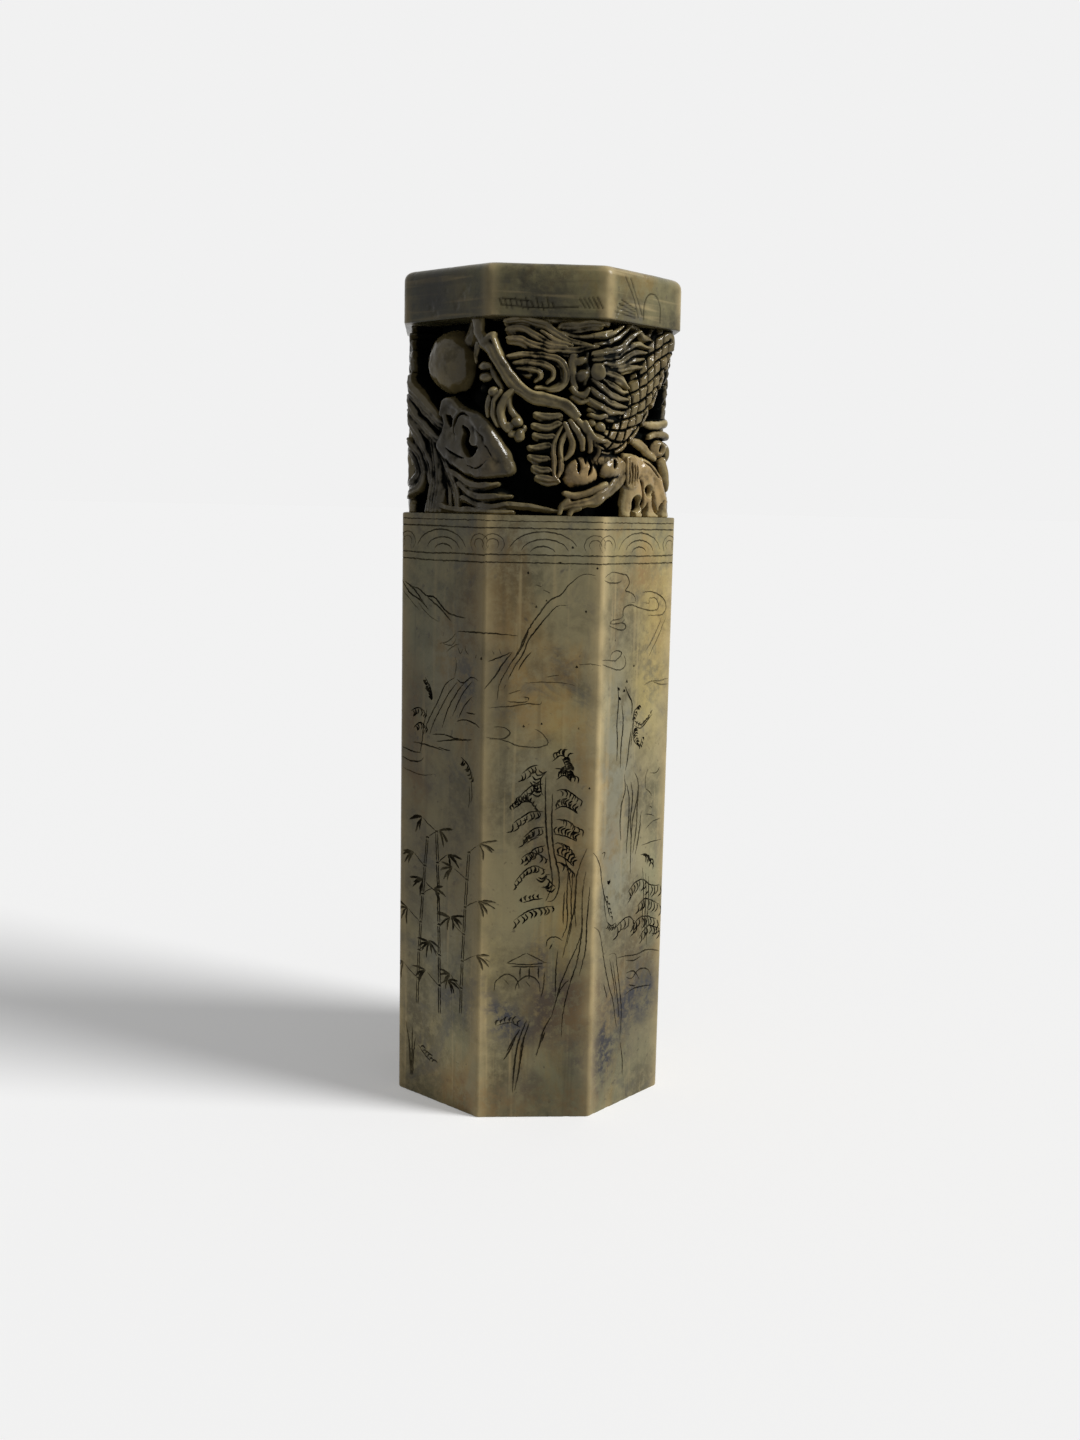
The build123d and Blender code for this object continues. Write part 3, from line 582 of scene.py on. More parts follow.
def far_landscape():
    """The same country carried on round the five faces that the photograph does not show."""
    mountain(41, 72, 17, 26, -2)
    mountain(35, 66, 9, 14, 1, 0.5)
    ripples(42, 60, 12, 5)
    pine(37, 14, 34, 3)
    many([[(32, 12), (34, 15), (38, 14), (41, 17), (45, 14), (50, 15)],
          [(33, 9), (37, 11), (42, 9), (47, 12)]], "line", 0.8)
    boulder(46, 20, 5, 3.6)
    grass(48, 3, 10, 5)
    mountain(60, 76, 15, 20, 2, 0.55)
    mountain(68, 70, 12, 17, -1, 0.5)
    pavilion(57, 44, 8)
    boulder(54.5, 42.4, 4.4, 3)
    boulder(60, 41.8, 5.4, 3.4)
    ripples(64, 34, 14, 6)
    willow(68, 12, 30)
    grass(57, 4, 13, 6)
    mountain(84, 68, 18, 28, 1, 0.6)
    ripples(80, 56, 16, 6)
    many([[(76, 44), (78, 42.8), (83, 42.6), (86, 44)], [(78.6, 44), (79.4, 46), (82.6, 46), (83.4, 44)],
          [(84, 44), (84.6, 50)], [(76, 41), (82, 40.6), (88, 41.2)]], "line", 0.85)
    ripples(82, 34, 14, 4)
    boulder(78, 15, 7, 4.6)
    boulder(86, 12, 8, 5.4)
    grass(81, 5, 9, 6)
    bamboo(99, 12, 40, 3)
    bamboo(104, 10, 52, -2, 0.9, 9)
    bamboo(109, 13, 36, 1.6)
    mountain(103, 78, 15, 18, -3, 0.5)
    ripples(103, 68, 13, 4)
    boulder(103, 6, 9, 4.5)
    mountain(124, 74, 17, 22, 3, 0.55)
    ripples(124, 62, 14, 5)
    pine(121, 26, 30, -3)
    many([[(115, 26), (119, 24), (124, 26.5), (129, 24), (133, 25)],
          [(117, 22), (122, 19.6), (127, 22), (132, 20)]], "line", 0.8)
    grass(125, 4, 12, 6)
    boulder(118, 8, 6, 4)


def specks():
    """Tiny black inclusions and pits in the polished stone."""
    seen = [(-2.7, 100), (2.9, 101.8), (9.4, 101), (-1.2, 94.1), (-3, 72.9), (0.2, 73.4), (6.8, 72.6),
            (5, 104.5), (0.6, 95.2), (14.4, 88.2), (-10.8, 84.8), (6.2, 83.6), (7.6, 93.4), (9, 61.8),
            (20.1, 83.2)]
    far = [(rng.uniform(32, 134), rng.uniform(4, 106)) for _ in range(34)]
    for u, z in seen + far:
        size = rng.uniform(0.12, 0.3)
        scratch([(u - size, z), (u, z + size * 0.4), (u + size, z)], "brush", 1.0, taper=0.05, wobble=0.02)


# The column: the unrolled faces cut along every stroke, with a groove down the middle of each
seam = -2.5 * face_width
grid_step = 1.35
seam_gap = 0.4
stroke_end = 0.01
shallow = 0.02
sample_step = 0.12
stroke_end_slope = 0.9
stroke_foot = 1.0
stroke_top = 0.6
stroke_clearance = 0.4
grid_columns = 15
grid_shift_u = 0.3
grid_shift_z = 0.35
top_radius = 0.25
arris_wear_and_highlight_reach = 2.6
field_depth = 1.2
border_reach = 2.9
fret_line = 1.3
fret_pitch = 2.6
fret_gap = 1.6


def unrolled(paths):
    """Strokes moved onto the sheet that starts at the seam, and cut where they would cross it."""
    pieces = []
    for path, half, ink in paths:
        for turn in (-1, 0, 1):
            u = path[:, 0] + turn * girth
            inside = (u > seam + seam_gap) & (u < seam + girth - seam_gap)
            inside &= (path[:, 1] > stroke_foot) & (path[:, 1] < column_height - stroke_top)
            run = []
            for index in range(len(u) + 1):
                if index < len(u) and inside[index]:
                    run.append(index)
                    continue
                if len(run) > 2:
                    piece = (np.column_stack([u[run], path[run, 1]]), half[run].copy(), ink[run].copy())
                    piece[1][[0, -1]] = stroke_end
                    piece[2][[0, -1]] = 0
                    pieces.append(piece)
                run = []
    return pieces


def lattice_noise(u, z, scale, seed):
    """Smooth noise between -1 and 1 on the unrolled faces, which joins up all round."""
    cells = max(1, int(round(girth / scale)))
    rows = int(total_height / scale) + 4
    table = np.random.default_rng(seed).uniform(-1, 1, (cells, rows))
    x = (np.asarray(u) - seam) / girth * cells
    y = np.asarray(z) / scale + 1
    i, j = np.floor(x).astype(int), np.clip(np.floor(y).astype(int), 0, rows - 2)
    a, b = x - i, y - j
    a, b = a * a * (3 - 2 * a), b * b * (3 - 2 * b)
    low = table[i % cells, j] * (1 - a) + table[(i + 1) % cells, j] * a
    high = table[i % cells, j + 1] * (1 - a) + table[(i + 1) % cells, j + 1] * a
    return low * (1 - b) + high * b


def fractal(u, z, scale, seed, octaves=4):
    """Noise of several sizes, each half the size and half the strength of the one before."""
    return sum(lattice_noise(u, z, scale / 2 ** k, seed + k) / 2 ** k for k in range(octaves))


def rounding(beyond, radius):
    """How far a surface falls back this close to an edge of that radius."""
    near = np.clip(radius - beyond, 0, radius)
    return radius - np.sqrt(radius ** 2 - near ** 2)


def near_arris(u, reach):
    """1 on an arris of the block, falling to 0 that far from it."""
    share = (u / face_width + 0.5) % 1
    return np.clip(1 - np.minimum(share, 1 - share) * face_width / reach, 0, 1)


def groove_edges(pieces):
    """The points and edges that cut the sheet along each stroke: two flanks and the line between them."""
    points, edges = [], []
    for path, half, _ in pieces:
        along = np.gradient(path, axis=0)
        along /= np.maximum(np.linalg.norm(along, axis=1, keepdims=True), 1e-9)
        across = np.column_stack([-along[:, 1], along[:, 0]])
        first = len(points)
        last = first + len(path) - 1
        points.extend(path.tolist())
        edges.extend((k, k + 1) for k in range(first, last))
        for side in (-1, 1):
            start = len(points)
            points.extend((path[1:-1] + side * across[1:-1] * half[1:-1, None]).tolist())
            edges.extend((k, k + 1) for k in range(start, len(points) - 1))
            edges.append((first, start))
            edges.append((len(points) - 1, last))
    return points, edges


def groove_samples(pieces):
    """Places close together along every stroke, with half the width and the ink there, and their tree."""
    rows = []
    for path, half, ink in pieces:
        length = np.concatenate([[0], np.cumsum(np.linalg.norm(np.diff(path, axis=0), axis=1))])
        dense = np.arange(0, length[-1], sample_step)
        columns = (path[:, 0], path[:, 1], half, ink)
        u, z, wide, black = [np.interp(dense, length, column) for column in columns]
        wide = np.minimum(wide, stroke_end + stroke_end_slope * np.minimum(dense, length[-1] - dense))
        rows.append(np.column_stack([u, z, wide, black]))
    rows = np.vstack(rows)
    tree = kdtree.KDTree(len(rows))
    for index, (u, z, _, _) in enumerate(rows):
        tree.insert((u, z, 0), index)
    tree.balance()
    return rows, tree


def rule_arrises(points, edges, levels):
    """Upright lines along every arris, where the sheet bends."""
    for face in range(FACES + 1):
        for offset in (-1.0, -0.5, 0.0, 0.5, 1.0):
            u = seam + face * face_width + offset * arris_reach
            if seam - 1e-6 <= u <= seam + girth + 1e-6:
                start = len(points)
                points.extend((u, z) for z in levels)
                edges.extend((start + k, start + k + 1) for k in range(len(levels) - 1))


def scatter_points(points, levels, tree):
    """Loose points over the flats, clear of every stroke."""
    for face in range(FACES):
        left = seam + face * face_width + arris_reach
        for u in np.linspace(left, left + face_width - 2 * arris_reach, grid_columns)[1:-1]:
            for z in levels:
                inner = 1 < z < column_height - 1
                place = (u + rng.uniform(-grid_shift_u, grid_shift_u),
                         z + rng.uniform(-grid_shift_z, grid_shift_z) * inner)
                if tree.find((*place, 0))[2] > stroke_clearance:
                    points.append(place)


def groove_depths(sheet, samples, tree):
    """How deep each point of the sheet lies in a groove, and how black it is."""
    hollow, ink = np.zeros(len(sheet)), np.zeros(len(sheet))
    for index, (u, z) in enumerate(sheet):
        for _, k, gap in tree.find_range((u, z, 0), line_width["brush"] * 0.75):
            share = 1 - gap / samples[k, 2]
            if share > 0.02:
                hollow[index] = max(hollow[index], share * samples[k, 2] * 2 * line_depth_share)
                ink[index] = max(ink[index], samples[k, 3])
    return hollow, ink


def cut_sheet():
    """The unrolled faces as a sheet of triangles, with the depth and ink of its strokes."""
    pieces = unrolled(strokes)
    points, edges = groove_edges(pieces)
    samples, tree = groove_samples(pieces)
    levels = np.concatenate([np.array([0, 0.15, 0.5, 1]) * foot_radius,
                             np.arange(1.4, column_height - 0.5, grid_step),
                             column_height - top_radius * np.array([1, 0.4, 0.1, 0])])
    rule_arrises(points, edges, levels)
    scatter_points(points, levels, tree)
    sheet, _, faces, _, _, _ = delaunay_2d_cdt([Vector(p) for p in points], edges, [], 0, 1e-5)
    sheet = np.array([(p.x, p.y) for p in sheet])
    hollow, ink = groove_depths(sheet, samples, tree)
    return sheet, [tuple(face) for face in faces], hollow, ink


def weld_seam(sheet, faces):
    """Points on the sheet's right edge become those on its left, and the faces follow."""
    left = np.where(np.isclose(sheet[:, 0], seam, atol=1e-4))[0]
    right = np.where(np.isclose(sheet[:, 0], seam + girth, atol=1e-4))[0]
    stands_for = np.arange(len(sheet))
    for index in right:
        stands_for[index] = left[np.argmin(np.abs(sheet[left, 1] - sheet[index, 1]))]
    return stands_for[np.array(faces)]


def press(loop, bars, inner, depth):
    """The printing face: the foot's flat rim, and a sunken field with raised bars, all from one plan."""
    corners = [(inner / math.cos(TURN / 2) * math.cos(TURN * (k + 0.5)),
                inner / math.cos(TURN / 2) * math.sin(TURN * (k + 0.5))) for k in range(FACES)]
    points, edges = [], []
    for outline in [loop, corners] + [[(a, b), (c, b), (c, d), (a, d)] for a, b, c, d in bars]:
        start = len(points)
        points.extend(outline)
        edges.extend((start + k, start + (k + 1) % len(outline)) for k in range(len(outline)))
    plan, _, faces, _, _, _ = delaunay_2d_cdt([Vector(p) for p in points], edges, [], 0, 1e-5)
    plan = np.array([(p.x, p.y) for p in plan])
    faces = np.array([tuple(face) for face in faces])
    middle = plan[faces].mean(axis=1)
    turns = TURN * np.arange(FACES)
    reach = (middle[:, :1] * np.cos(turns) + middle[:, 1:] * np.sin(turns)).max(axis=1)
    proud = reach > inner
    for a, b, c, d in bars:
        proud |= (middle[:, 0] > a) & (middle[:, 0] < c) & (middle[:, 1] > b) & (middle[:, 1] < d)
    count = len(plan)
    points = np.vstack([np.column_stack([plan, np.zeros(count)]),
                        np.column_stack([plan, np.full(count, depth)])])
    flipped = [tuple(face[::-1] + (0 if up else count)) for face, up in zip(faces, proud)]
    walls = {}
    for face, up in zip(faces, proud):
        for a, b in zip(face, np.roll(face, -1)):
            walls.setdefault((min(a, b), max(a, b)), []).append((a, b, up))
    for sides in walls.values():
        if len(sides) == 2 and sides[0][2] != sides[1][2]:
            a, b, _ = next(side for side in sides if side[2])
            flipped.append((a, b, b + count, a + count))
    return points, flipped


def fret_bars():
    """Nine square spirals, and a bar for each along the four sides, as rectangles."""
    turn_shares = [(-1.5, -1.5), (1.5, -1.5), (1.5, 1.5), (-0.5, 1.5), (-0.5, -0.5), (0.5, -0.5)]
    reach = 3 * fret_pitch + fret_line + fret_gap
    half = fret_line / 2
    bars = []
    for column in (-1, 0, 1):
        for row in (-1, 0, 1):
            x, y = column * reach, row * reach
            for (a, b), (c, d) in zip(turn_shares, turn_shares[1:]):
                a, c = sorted((x + a * fret_pitch, x + c * fret_pitch))
                b, d = sorted((y + b * fret_pitch, y + d * fret_pitch))
                bars.append((a - half, b - half, c + half, d + half))
        long = 1.5 * fret_pitch + half
        place = 1.5 * reach + half
        for side in (-1, 1):
            near, far = side * place - half, side * place + half
            bars.append((column * reach - long, near, column * reach + long, far))
            bars.append((near, column * reach - long, far, column * reach + long))
    return bars


def spots(u, z, places):
    """Soft blotches, each given as u, z, width, height and strength, with ragged rims."""
    warp_u = u + 1.6 * fractal(u, z, 5, 31)
    warp_z = z + 1.6 * fractal(u, z, 5, 41)
    total = np.zeros(len(u))
    for place_u, place_z, wide, tall, strength in places:
        gap = (warp_u - place_u + girth / 2) % girth - girth / 2
        total += strength * np.exp(-(gap / wide) ** 2 - ((warp_z - place_z) / tall) ** 2)
    return total


def set_normals(obj, soft, normals):
    """Corner normals: the block's own where a face is soft, and the face's own elsewhere."""
    mesh = obj.data
    corners = []
    for polygon, is_soft in zip(mesh.polygons, soft):
        for vertex in polygon.vertices:
            corners.append(tuple(normals[vertex]) if is_soft else tuple(polygon.normal))
    mesh.normals_split_custom_set(corners)


# Lighter and darker stretches of the stone, partly its own tone and partly painted light (a painted highlight
# along the right arris, painted light low on the left face), and its stains, as u, z, width, height and
# strength
tone_and_light_places = [
    (-21, 13, 13, 18, 1.6), (-28, 72, 4, 14, -0.35), (21, 15, 11, 14, -0.34), (21, 98, 9, 10, 0.2),
    (2, 5, 10, 9, -0.36), (-9, 80, 3, 8, -0.25), (3, 22, 5, 7, -0.3), (28, 80, 4, 30, 0.30),
    (14, 60, 3, 34, -0.10), (-20, 100, 9, 8, -0.12), (10.4, 62, 1.3, 60, 0.45), (60, 50, 20, 30, 0.15),
    (110, 60, 16, 26, -0.15),
]
stain_places = {
    "blue_stain": [
        (-6, 18, 7, 3.5, 0.8), (-10, 24, 2.5, 4, 0.6), (1, 30, 4, 4, 0.5), (13, 12, 6, 5, 0.9),
        (8, 22, 6, 4, 0.6), (25, 20, 8, 5.5, 0.9), (-14, 80, 3, 7, 0.6), (-8, 84, 3, 3, 0.35),
        (-24, 60, 2, 2.5, 0.5), (-18, 21, 5, 3, 0.5), (-7, 75, 3, 2, 0.3), (3, 23, 3, 5, 0.7),
        (12, 6, 3, 3, 0.6), (-2, 6, 3, 2, 0.5), (6, 60, 3, 4, 0.3), (45, 30, 7, 4, 0.5),
        (70, 14, 9, 4, 0.6), (90, 60, 6, 5, 0.4), (118, 20, 7, 4, 0.5),
    ],
    "brown_stain": [
        (7, 21, 6, 7, 0.8), (24, 100, 4, 4, 0.8), (27, 88, 3, 8, 0.6), (-9, 91, 3, 3, 0.4),
        (-28.5, 72, 2.6, 10, 1.0), (5, 50, 6, 12, 0.45), (-5, 93, 6, 6, 0.3), (-16, 44, 4, 9, 0.35),
        (16, 98, 4, 6, 0.35), (18, 52, 4, 6, 0.3), (-12, 3, 9, 4, 1.2), (8, 4, 7, 3, 0.9),
        (-27, 58, 3, 8, 0.6), (50, 95, 5, 5, 0.5), (75, 70, 7, 8, 0.4), (100, 96, 6, 4, 0.5),
    ],
    "yellow_stain": [
        (27, 92, 5, 15, 1.0), (23, 76, 4, 7, 0.6), (14, 104, 4, 4, 0.5), (5, 36, 4, 7, 0.5),
        (-10, 30, 3, 9, 0.4), (2, 73, 6, 5, 0.4), (70, 90, 9, 12, 0.6), (120, 40, 8, 12, 0.6),
    ],
    "grey_stain": [
        (15, 66, 5, 17, 0.9), (17, 45, 6, 10, 0.8), (-18, 84, 7, 10, 0.6), (-20, 32, 6, 10, 0.5),
        (-2, 62, 5, 7, 0.5), (0, 106, 8, 4, 0.5), (45, 80, 9, 14, 0.6), (95, 40, 9, 16, 0.6),
    ],
}


def build_column(material):
    """The engraved column and the printing face at its foot."""
    sheet, faces, hollow, ink = cut_sheet()
    faces = weld_seam(sheet, faces)
    u, z = sheet[:, 0], sheet[:, 1]
    inset = rounding(z, foot_radius) + rounding(column_height - z, top_radius)
    block, normals = on_block(u, z, hollow, inset)
    keep = u < seam + girth - 1e-4
    top = [k for k in np.argsort(u) if keep[k] and z[k] > column_height - 1e-4]
    foot = [k for k in np.argsort(u) if keep[k] and z[k] < 1e-4]
    rim = [tuple(block[k][:2]) for k in foot]
    under, under_faces = press(rim, fret_bars(), apothem - border_reach, field_depth)
    start = len(block)
    points = np.vstack([block, under])
    all_faces = [tuple(face) for face in faces] + [tuple(top)]
    all_faces += [tuple(int(k) + start for k in face) for face in under_faces]
    flat = hollow[faces].max(axis=1) < shallow
    obj = make_object("column_body", points, all_faces, "column", material)
    soft = list(flat) + [False] * (1 + len(under_faces))
    set_normals(obj, soft, np.vstack([normals, np.zeros((len(under), 3))]))

    def spread(values, rest=0.0):
        return np.concatenate([values, np.full(len(under), rest)])

    paint_faces(obj, "ink", spread(ink * (hollow > shallow)))
    # The arris share drives lighter ochre edges in the material: partly wear, partly a painted highlight
    paint(obj, "arris", spread(near_arris(u, arris_wear_and_highlight_reach)))
    paint(obj, "tone", spread(1 + spots(u, z, tone_and_light_places), 1.0))
    for stain, places in stain_places.items():
        paint(obj, stain, spread(spots(u, z, places)))


# The slab on top
slab_step = 0.22
slab_bend = 2.0
slab_arris_reach = 2.2
slab_scratch_depth = 0.05
slab_scratch_reach = 0.2
# Lighter and darker stretches of the slab as u, z, width, height and strength: partly its own clouding,
# partly painted light, darker on the shaded left face and lighter on the lit right face
slab_tones_and_light = [
    (-21, 148, 14, 12, -0.52), (0, 146, 11, 4, -0.30), (-2, 151, 9, 2.0, 0.15), (21, 149, 10, 9, 0.35),
    (-25, 148, 5, 6, -0.35), (-14, 148, 3.5, 6, 0.3), (0, 151.5, 14, 1.0, 0.25), (12, 146, 3, 3, 0.3),
    (60, 148, 14, 8, 0.3), (100, 148, 12, 8, -0.2),
]


def slab_marks():
    """Fine scratches on the slab: short hatching along its foot, two long strays and a faint arch."""
    marks = [[(-8.5 + 0.9 * k, 146.3 + 0.4 * math.sin(3 * k)),
              (-8.1 + 0.9 * k, 144.9 + 0.3 * math.cos(2 * k))]
             for k in range(11)]
    marks += [[(5.2 + 0.75 * k, 146.6 + 0.1 * k), (6.2 + 0.75 * k, 145.2)] for k in range(5)]
    marks += [[(11.8 + 0.6 * k, 144.9 + 0.7 * k), (17.5, 144.4 + 0.5 * k)] for k in range(4)]
    marks += [[(-8, 145.3), (-2, 145.0), (5, 145.3)], [(14.5, 151.0), (17.0, 147.6), (18.4, 144.6)],
              [(16, 150.8), (19.6, 145.0)], [(-8, 146.4), (-3.5, 146.1)]]
    return marks + [[(24.8, 144.4)] + arc(22.4, 146.4, 2.4, 2.6, 0, math.pi, 9) + [(20.0, 144.4)]]


def slab_wear(u, z):
    """Shallow dents, and rubbing that grows towards the upper edge."""
    dents = 0.05 * (1 + fractal(u, z, 9, 51)) + 0.3 * np.clip(fractal(u, z, 2.6, 61) - 0.8, 0, 1)
    return dents * (1 + 2 * np.clip((z - total_height + 2) / 2, 0, 1))


def scratched(u, z):
    """1 in a scratch of the slab, falling to 0 beside it."""
    marked = np.zeros(len(u))
    for mark in slab_marks():
        path = smooth_path(mark, 0.1)
        low, high = path.min(axis=0) - 2 * slab_scratch_reach, path.max(axis=0) + 2 * slab_scratch_reach
        near = np.where((u > low[0]) & (u < high[0]) & (z > low[1]) & (z < high[1]))[0]
        gap = np.hypot(u[near, None] - path[:, 0], z[near, None] - path[:, 1]).min(axis=1)
        marked[near] = np.maximum(marked[near], np.clip(1.15 - gap / slab_scratch_reach, 0, 1))
    return marked


def build_cap(material):
    """The slab: rings of points up its side and over its worn upper edge, closed above and below."""
    count = int(round(girth / slab_step))
    ring = seam + girth / count * np.arange(count)
    bend = np.linspace(0, math.pi / 2, 9)
    levels = np.concatenate([cap_foot + np.array([0, 0.06, 0.2]),
                             np.arange(cap_foot + 0.4, total_height - cap_top_radius - 0.1, slab_step),
                             total_height - cap_top_radius * (1 - np.sin(bend))])
    insets = rounding(levels - cap_foot, 0.2) + rounding(total_height - levels, cap_top_radius)
    u = np.tile(ring, len(levels))
    z = np.repeat(levels, len(ring))
    marked = scratched(u, z)
    depth = slab_wear(u, z) + slab_scratch_depth * marked
    points, _ = on_block(u, z, depth, np.repeat(insets, len(ring)), slab_bend)
    faces = []
    for row in range(len(levels) - 1):
        for k in range(count):
            a, b = row * count + k, row * count + (k + 1) % count
            faces.append((a, b, b + count, a + count))
    rings = [points]
    last = points[-count:]
    for share in (0.96, 0.85, 0.6, 0.3):
        start = sum(len(r) for r in rings) - count
        rings.append(last * [share, share, 1])
        faces.extend((start + k, start + (k + 1) % count, start + count + (k + 1) % count, start + count + k)
                     for k in range(count))
    points = np.vstack(rings)
    faces.append(tuple(range(len(points) - count, len(points))))
    faces.append(tuple(reversed(range(count))))
    obj = make_object("cap", points, faces, "cap_slab", material)
    u_all = np.concatenate([u] + [ring] * 4)
    z_all = points[:, 2]
    on_top = z_all > total_height - 0.05
    # The arris share drives lighter ochre edges in the material: partly wear, partly a painted highlight
    paint(obj, "arris", near_arris(u_all, slab_arris_reach) * ~on_top)
    paint(obj, "ink", np.concatenate([marked * 0.9, np.zeros(4 * count)]))
    paint(obj, "tone", 1 + spots(u_all, z_all, slab_tones_and_light))


# Carving: each shape is drawn on the unrolled faces and cut down into the stone from there
voxel = 0.18
fine_voxel = 0.13
fine_pieces = ("dragon_head", "mane", "belly_plates", "scroll_cloud", "top_cloud", "front_claws",
               "dragon_neck", "haunch", "front_foot")
crest = 0.7
root = 0.5
carving_bend = 2.0
carved_low = column_height
carved_high = cap_foot
field_reach = 2.0
cut_blend = 0.15
hand_wobble = 0.2
hand_wear = 0.11
flat_bulge = 0.36
lock_spread = 1.18
lock_rise = 0.65
hair_pitch = 0.82
hair_depth = 0.26
carved = {}


def outline_of(points):
    """A smooth closed outline through the points."""
    ring = points + points[:3]
    path = smooth_path(ring, 0.3)
    start = np.argmin(np.linalg.norm(path - points[1], axis=1))
    stop = len(path) - 1 - np.argmin(np.linalg.norm(path[::-1] - points[1], axis=1))
    return path[start:stop]


def nearest(path, u, z):
    """For every place: the distance to the path, the nearest step along it, and the side it is on."""
    gap = np.full(u.shape, 1e9, dtype=np.float32)
    step = np.zeros(u.shape, dtype=int)
    for k, (x, y) in enumerate(path):
        reach = (u - x) ** 2 + (z - y) ** 2
        closer = reach < gap
        gap[closer] = reach[closer]
        step[closer] = k
    along = np.gradient(path, axis=0)
    along /= np.maximum(np.linalg.norm(along, axis=1, keepdims=True), 1e-9)
    across = (u - path[step, 0]) * -along[step, 1] + (z - path[step, 1]) * along[step, 0]
    return np.sqrt(gap), step, np.sign(across)


def strand(points, widths, top=crest, bulge=0.5, flare=0.0, floor=None, skin=None):
    """A rounded strand along a path. widths and top may be lists that run along it. bulge is the share
    of the half width that is rounded over; flare widens it towards the ground, or undercuts it below 0."""
    path = smooth_path(points, 0.25)
    share = np.linspace(0, 1, len(path))
    widths = np.atleast_1d(np.asarray(widths, dtype=float))
    tops = np.atleast_1d(np.asarray(top, dtype=float))
    half = np.interp(share, np.linspace(0, 1, len(widths)), widths) / 2
    lids = np.interp(share, np.linspace(0, 1, len(tops)), tops)
    length = np.concatenate([[0], np.cumsum(np.linalg.norm(np.diff(path, axis=0), axis=1))])

    def maps(u, z):
        gap, step, side = nearest(path, u, z)
        wide = half[step]
        lid = lids[step]
        if skin is not None:
            lid = lid + skin(length[step], side * gap, wide)
        return gap - wide, lid, np.maximum(wide * bulge * 2, 0.2)

    margin = half.max() + max(flare, 0) * 8 + 0.8
    return {"low": path.min(axis=0) - margin, "high": path.max(axis=0) + margin, "maps": maps,
            "flare": flare, "floor": floor}


def shingle(along, aside, wide):
    """Skin that slopes across a strand, down from the edge on its left, with fine hairs along it."""
    slope = lock_rise * (1 - np.clip(aside / wide, -1, 1)) / 2
    return slope + hair_depth * (0.5 - 0.5 * np.cos(math.tau * aside / hair_pitch))


def lock(points, widths, top=crest):
    """A flat lock of hair or cloud, which overlaps the next like a shingle."""
    return strand(points, np.multiply(widths, lock_spread), top, bulge=flat_bulge, skin=shingle)


def ball(u, z, width, top=crest, height=None, undercut=0.8, bulge=1.0):
    """A round knob; an oval one where a height is given."""
    half_u, half_z = width / 2, (height or width) / 2

    def maps(x, y):
        a, b = (x - u) / half_u, (y - z) / half_z
        gap = (np.sqrt(a * a + b * b) - 1) * min(half_u, half_z)
        return gap, np.full(x.shape, float(top)), np.full(x.shape, min(half_u, half_z) * bulge)

    margin = np.array([half_u, half_z]) + 0.8
    place = np.array([u, z])
    return {"low": place - margin, "high": place + margin, "maps": maps, "flare": -undercut, "floor": None}


def plate(points, top, bulge):
    """A flat-topped shape inside an outline, with its rim rounded over."""
    path = outline_of(points)

    def maps(u, z):
        gap, _, _ = nearest(path, u, z)
        inside = np.zeros(u.shape, dtype=bool)
        for (ax, ay), (bx, by) in zip(path, np.roll(path, -1, axis=0)):
            crosses = (ay > z) != (by > z)
            if crosses.any() and by != ay:
                inside ^= crosses & (u < (bx - ax) * (z - ay) / (by - ay) + ax)
        return np.where(inside, -gap, gap), np.full(u.shape, float(top)), np.full(u.shape, float(bulge))

    return {"low": path.min(axis=0) - 0.8, "high": path.max(axis=0) + 0.8, "maps": maps, "flare": 0.0,
            "floor": None}


def groove(points, width, floor):
    """A cut with sloping sides, as wide as given at the block's face and closing at its floor."""
    path = smooth_path(points, 0.25)
    share = np.linspace(0, 1, len(path))
    fade = np.clip(np.minimum(share, 1 - share) / 0.25, 0.15, 1) ** 0.7

    def cut(u, z, d):
        gap, step, _ = nearest(path, u, z)
        return gap[..., None] - width / 2 * fade[step][..., None] * (1 - d / floor)

    return {"low": path.min(axis=0) - width, "high": path.max(axis=0) + width, "cut": cut}


def hole(u, z, width, floor=None, height=None):
    """A drilled hole, rounder at its rim."""
    half_u, half_z = width / 2, (height or width) / 2

    def cut(x, y, d):
        share = np.sqrt(((x - u) / half_u) ** 2 + ((y - z) / half_z) ** 2)[..., None]
        gap = (share - 1) * min(half_u, half_z) - 0.35 * np.clip(1.6 - d, 0, 1.6)
        return np.maximum(gap, d - (floor or ground_depth))

    margin = np.array([half_u, half_z]) + 0.8
    place = np.array([u, z])
    return {"low": place - margin, "high": place + margin, "cut": cut}


def smooth_min(a, b, soft):
    """The smaller of two fields, blended where they are nearly equal."""
    share = np.clip(0.5 + 0.5 * (b - a) / soft, 0, 1)
    return b + (a - b) * share - soft * share * (1 - share)


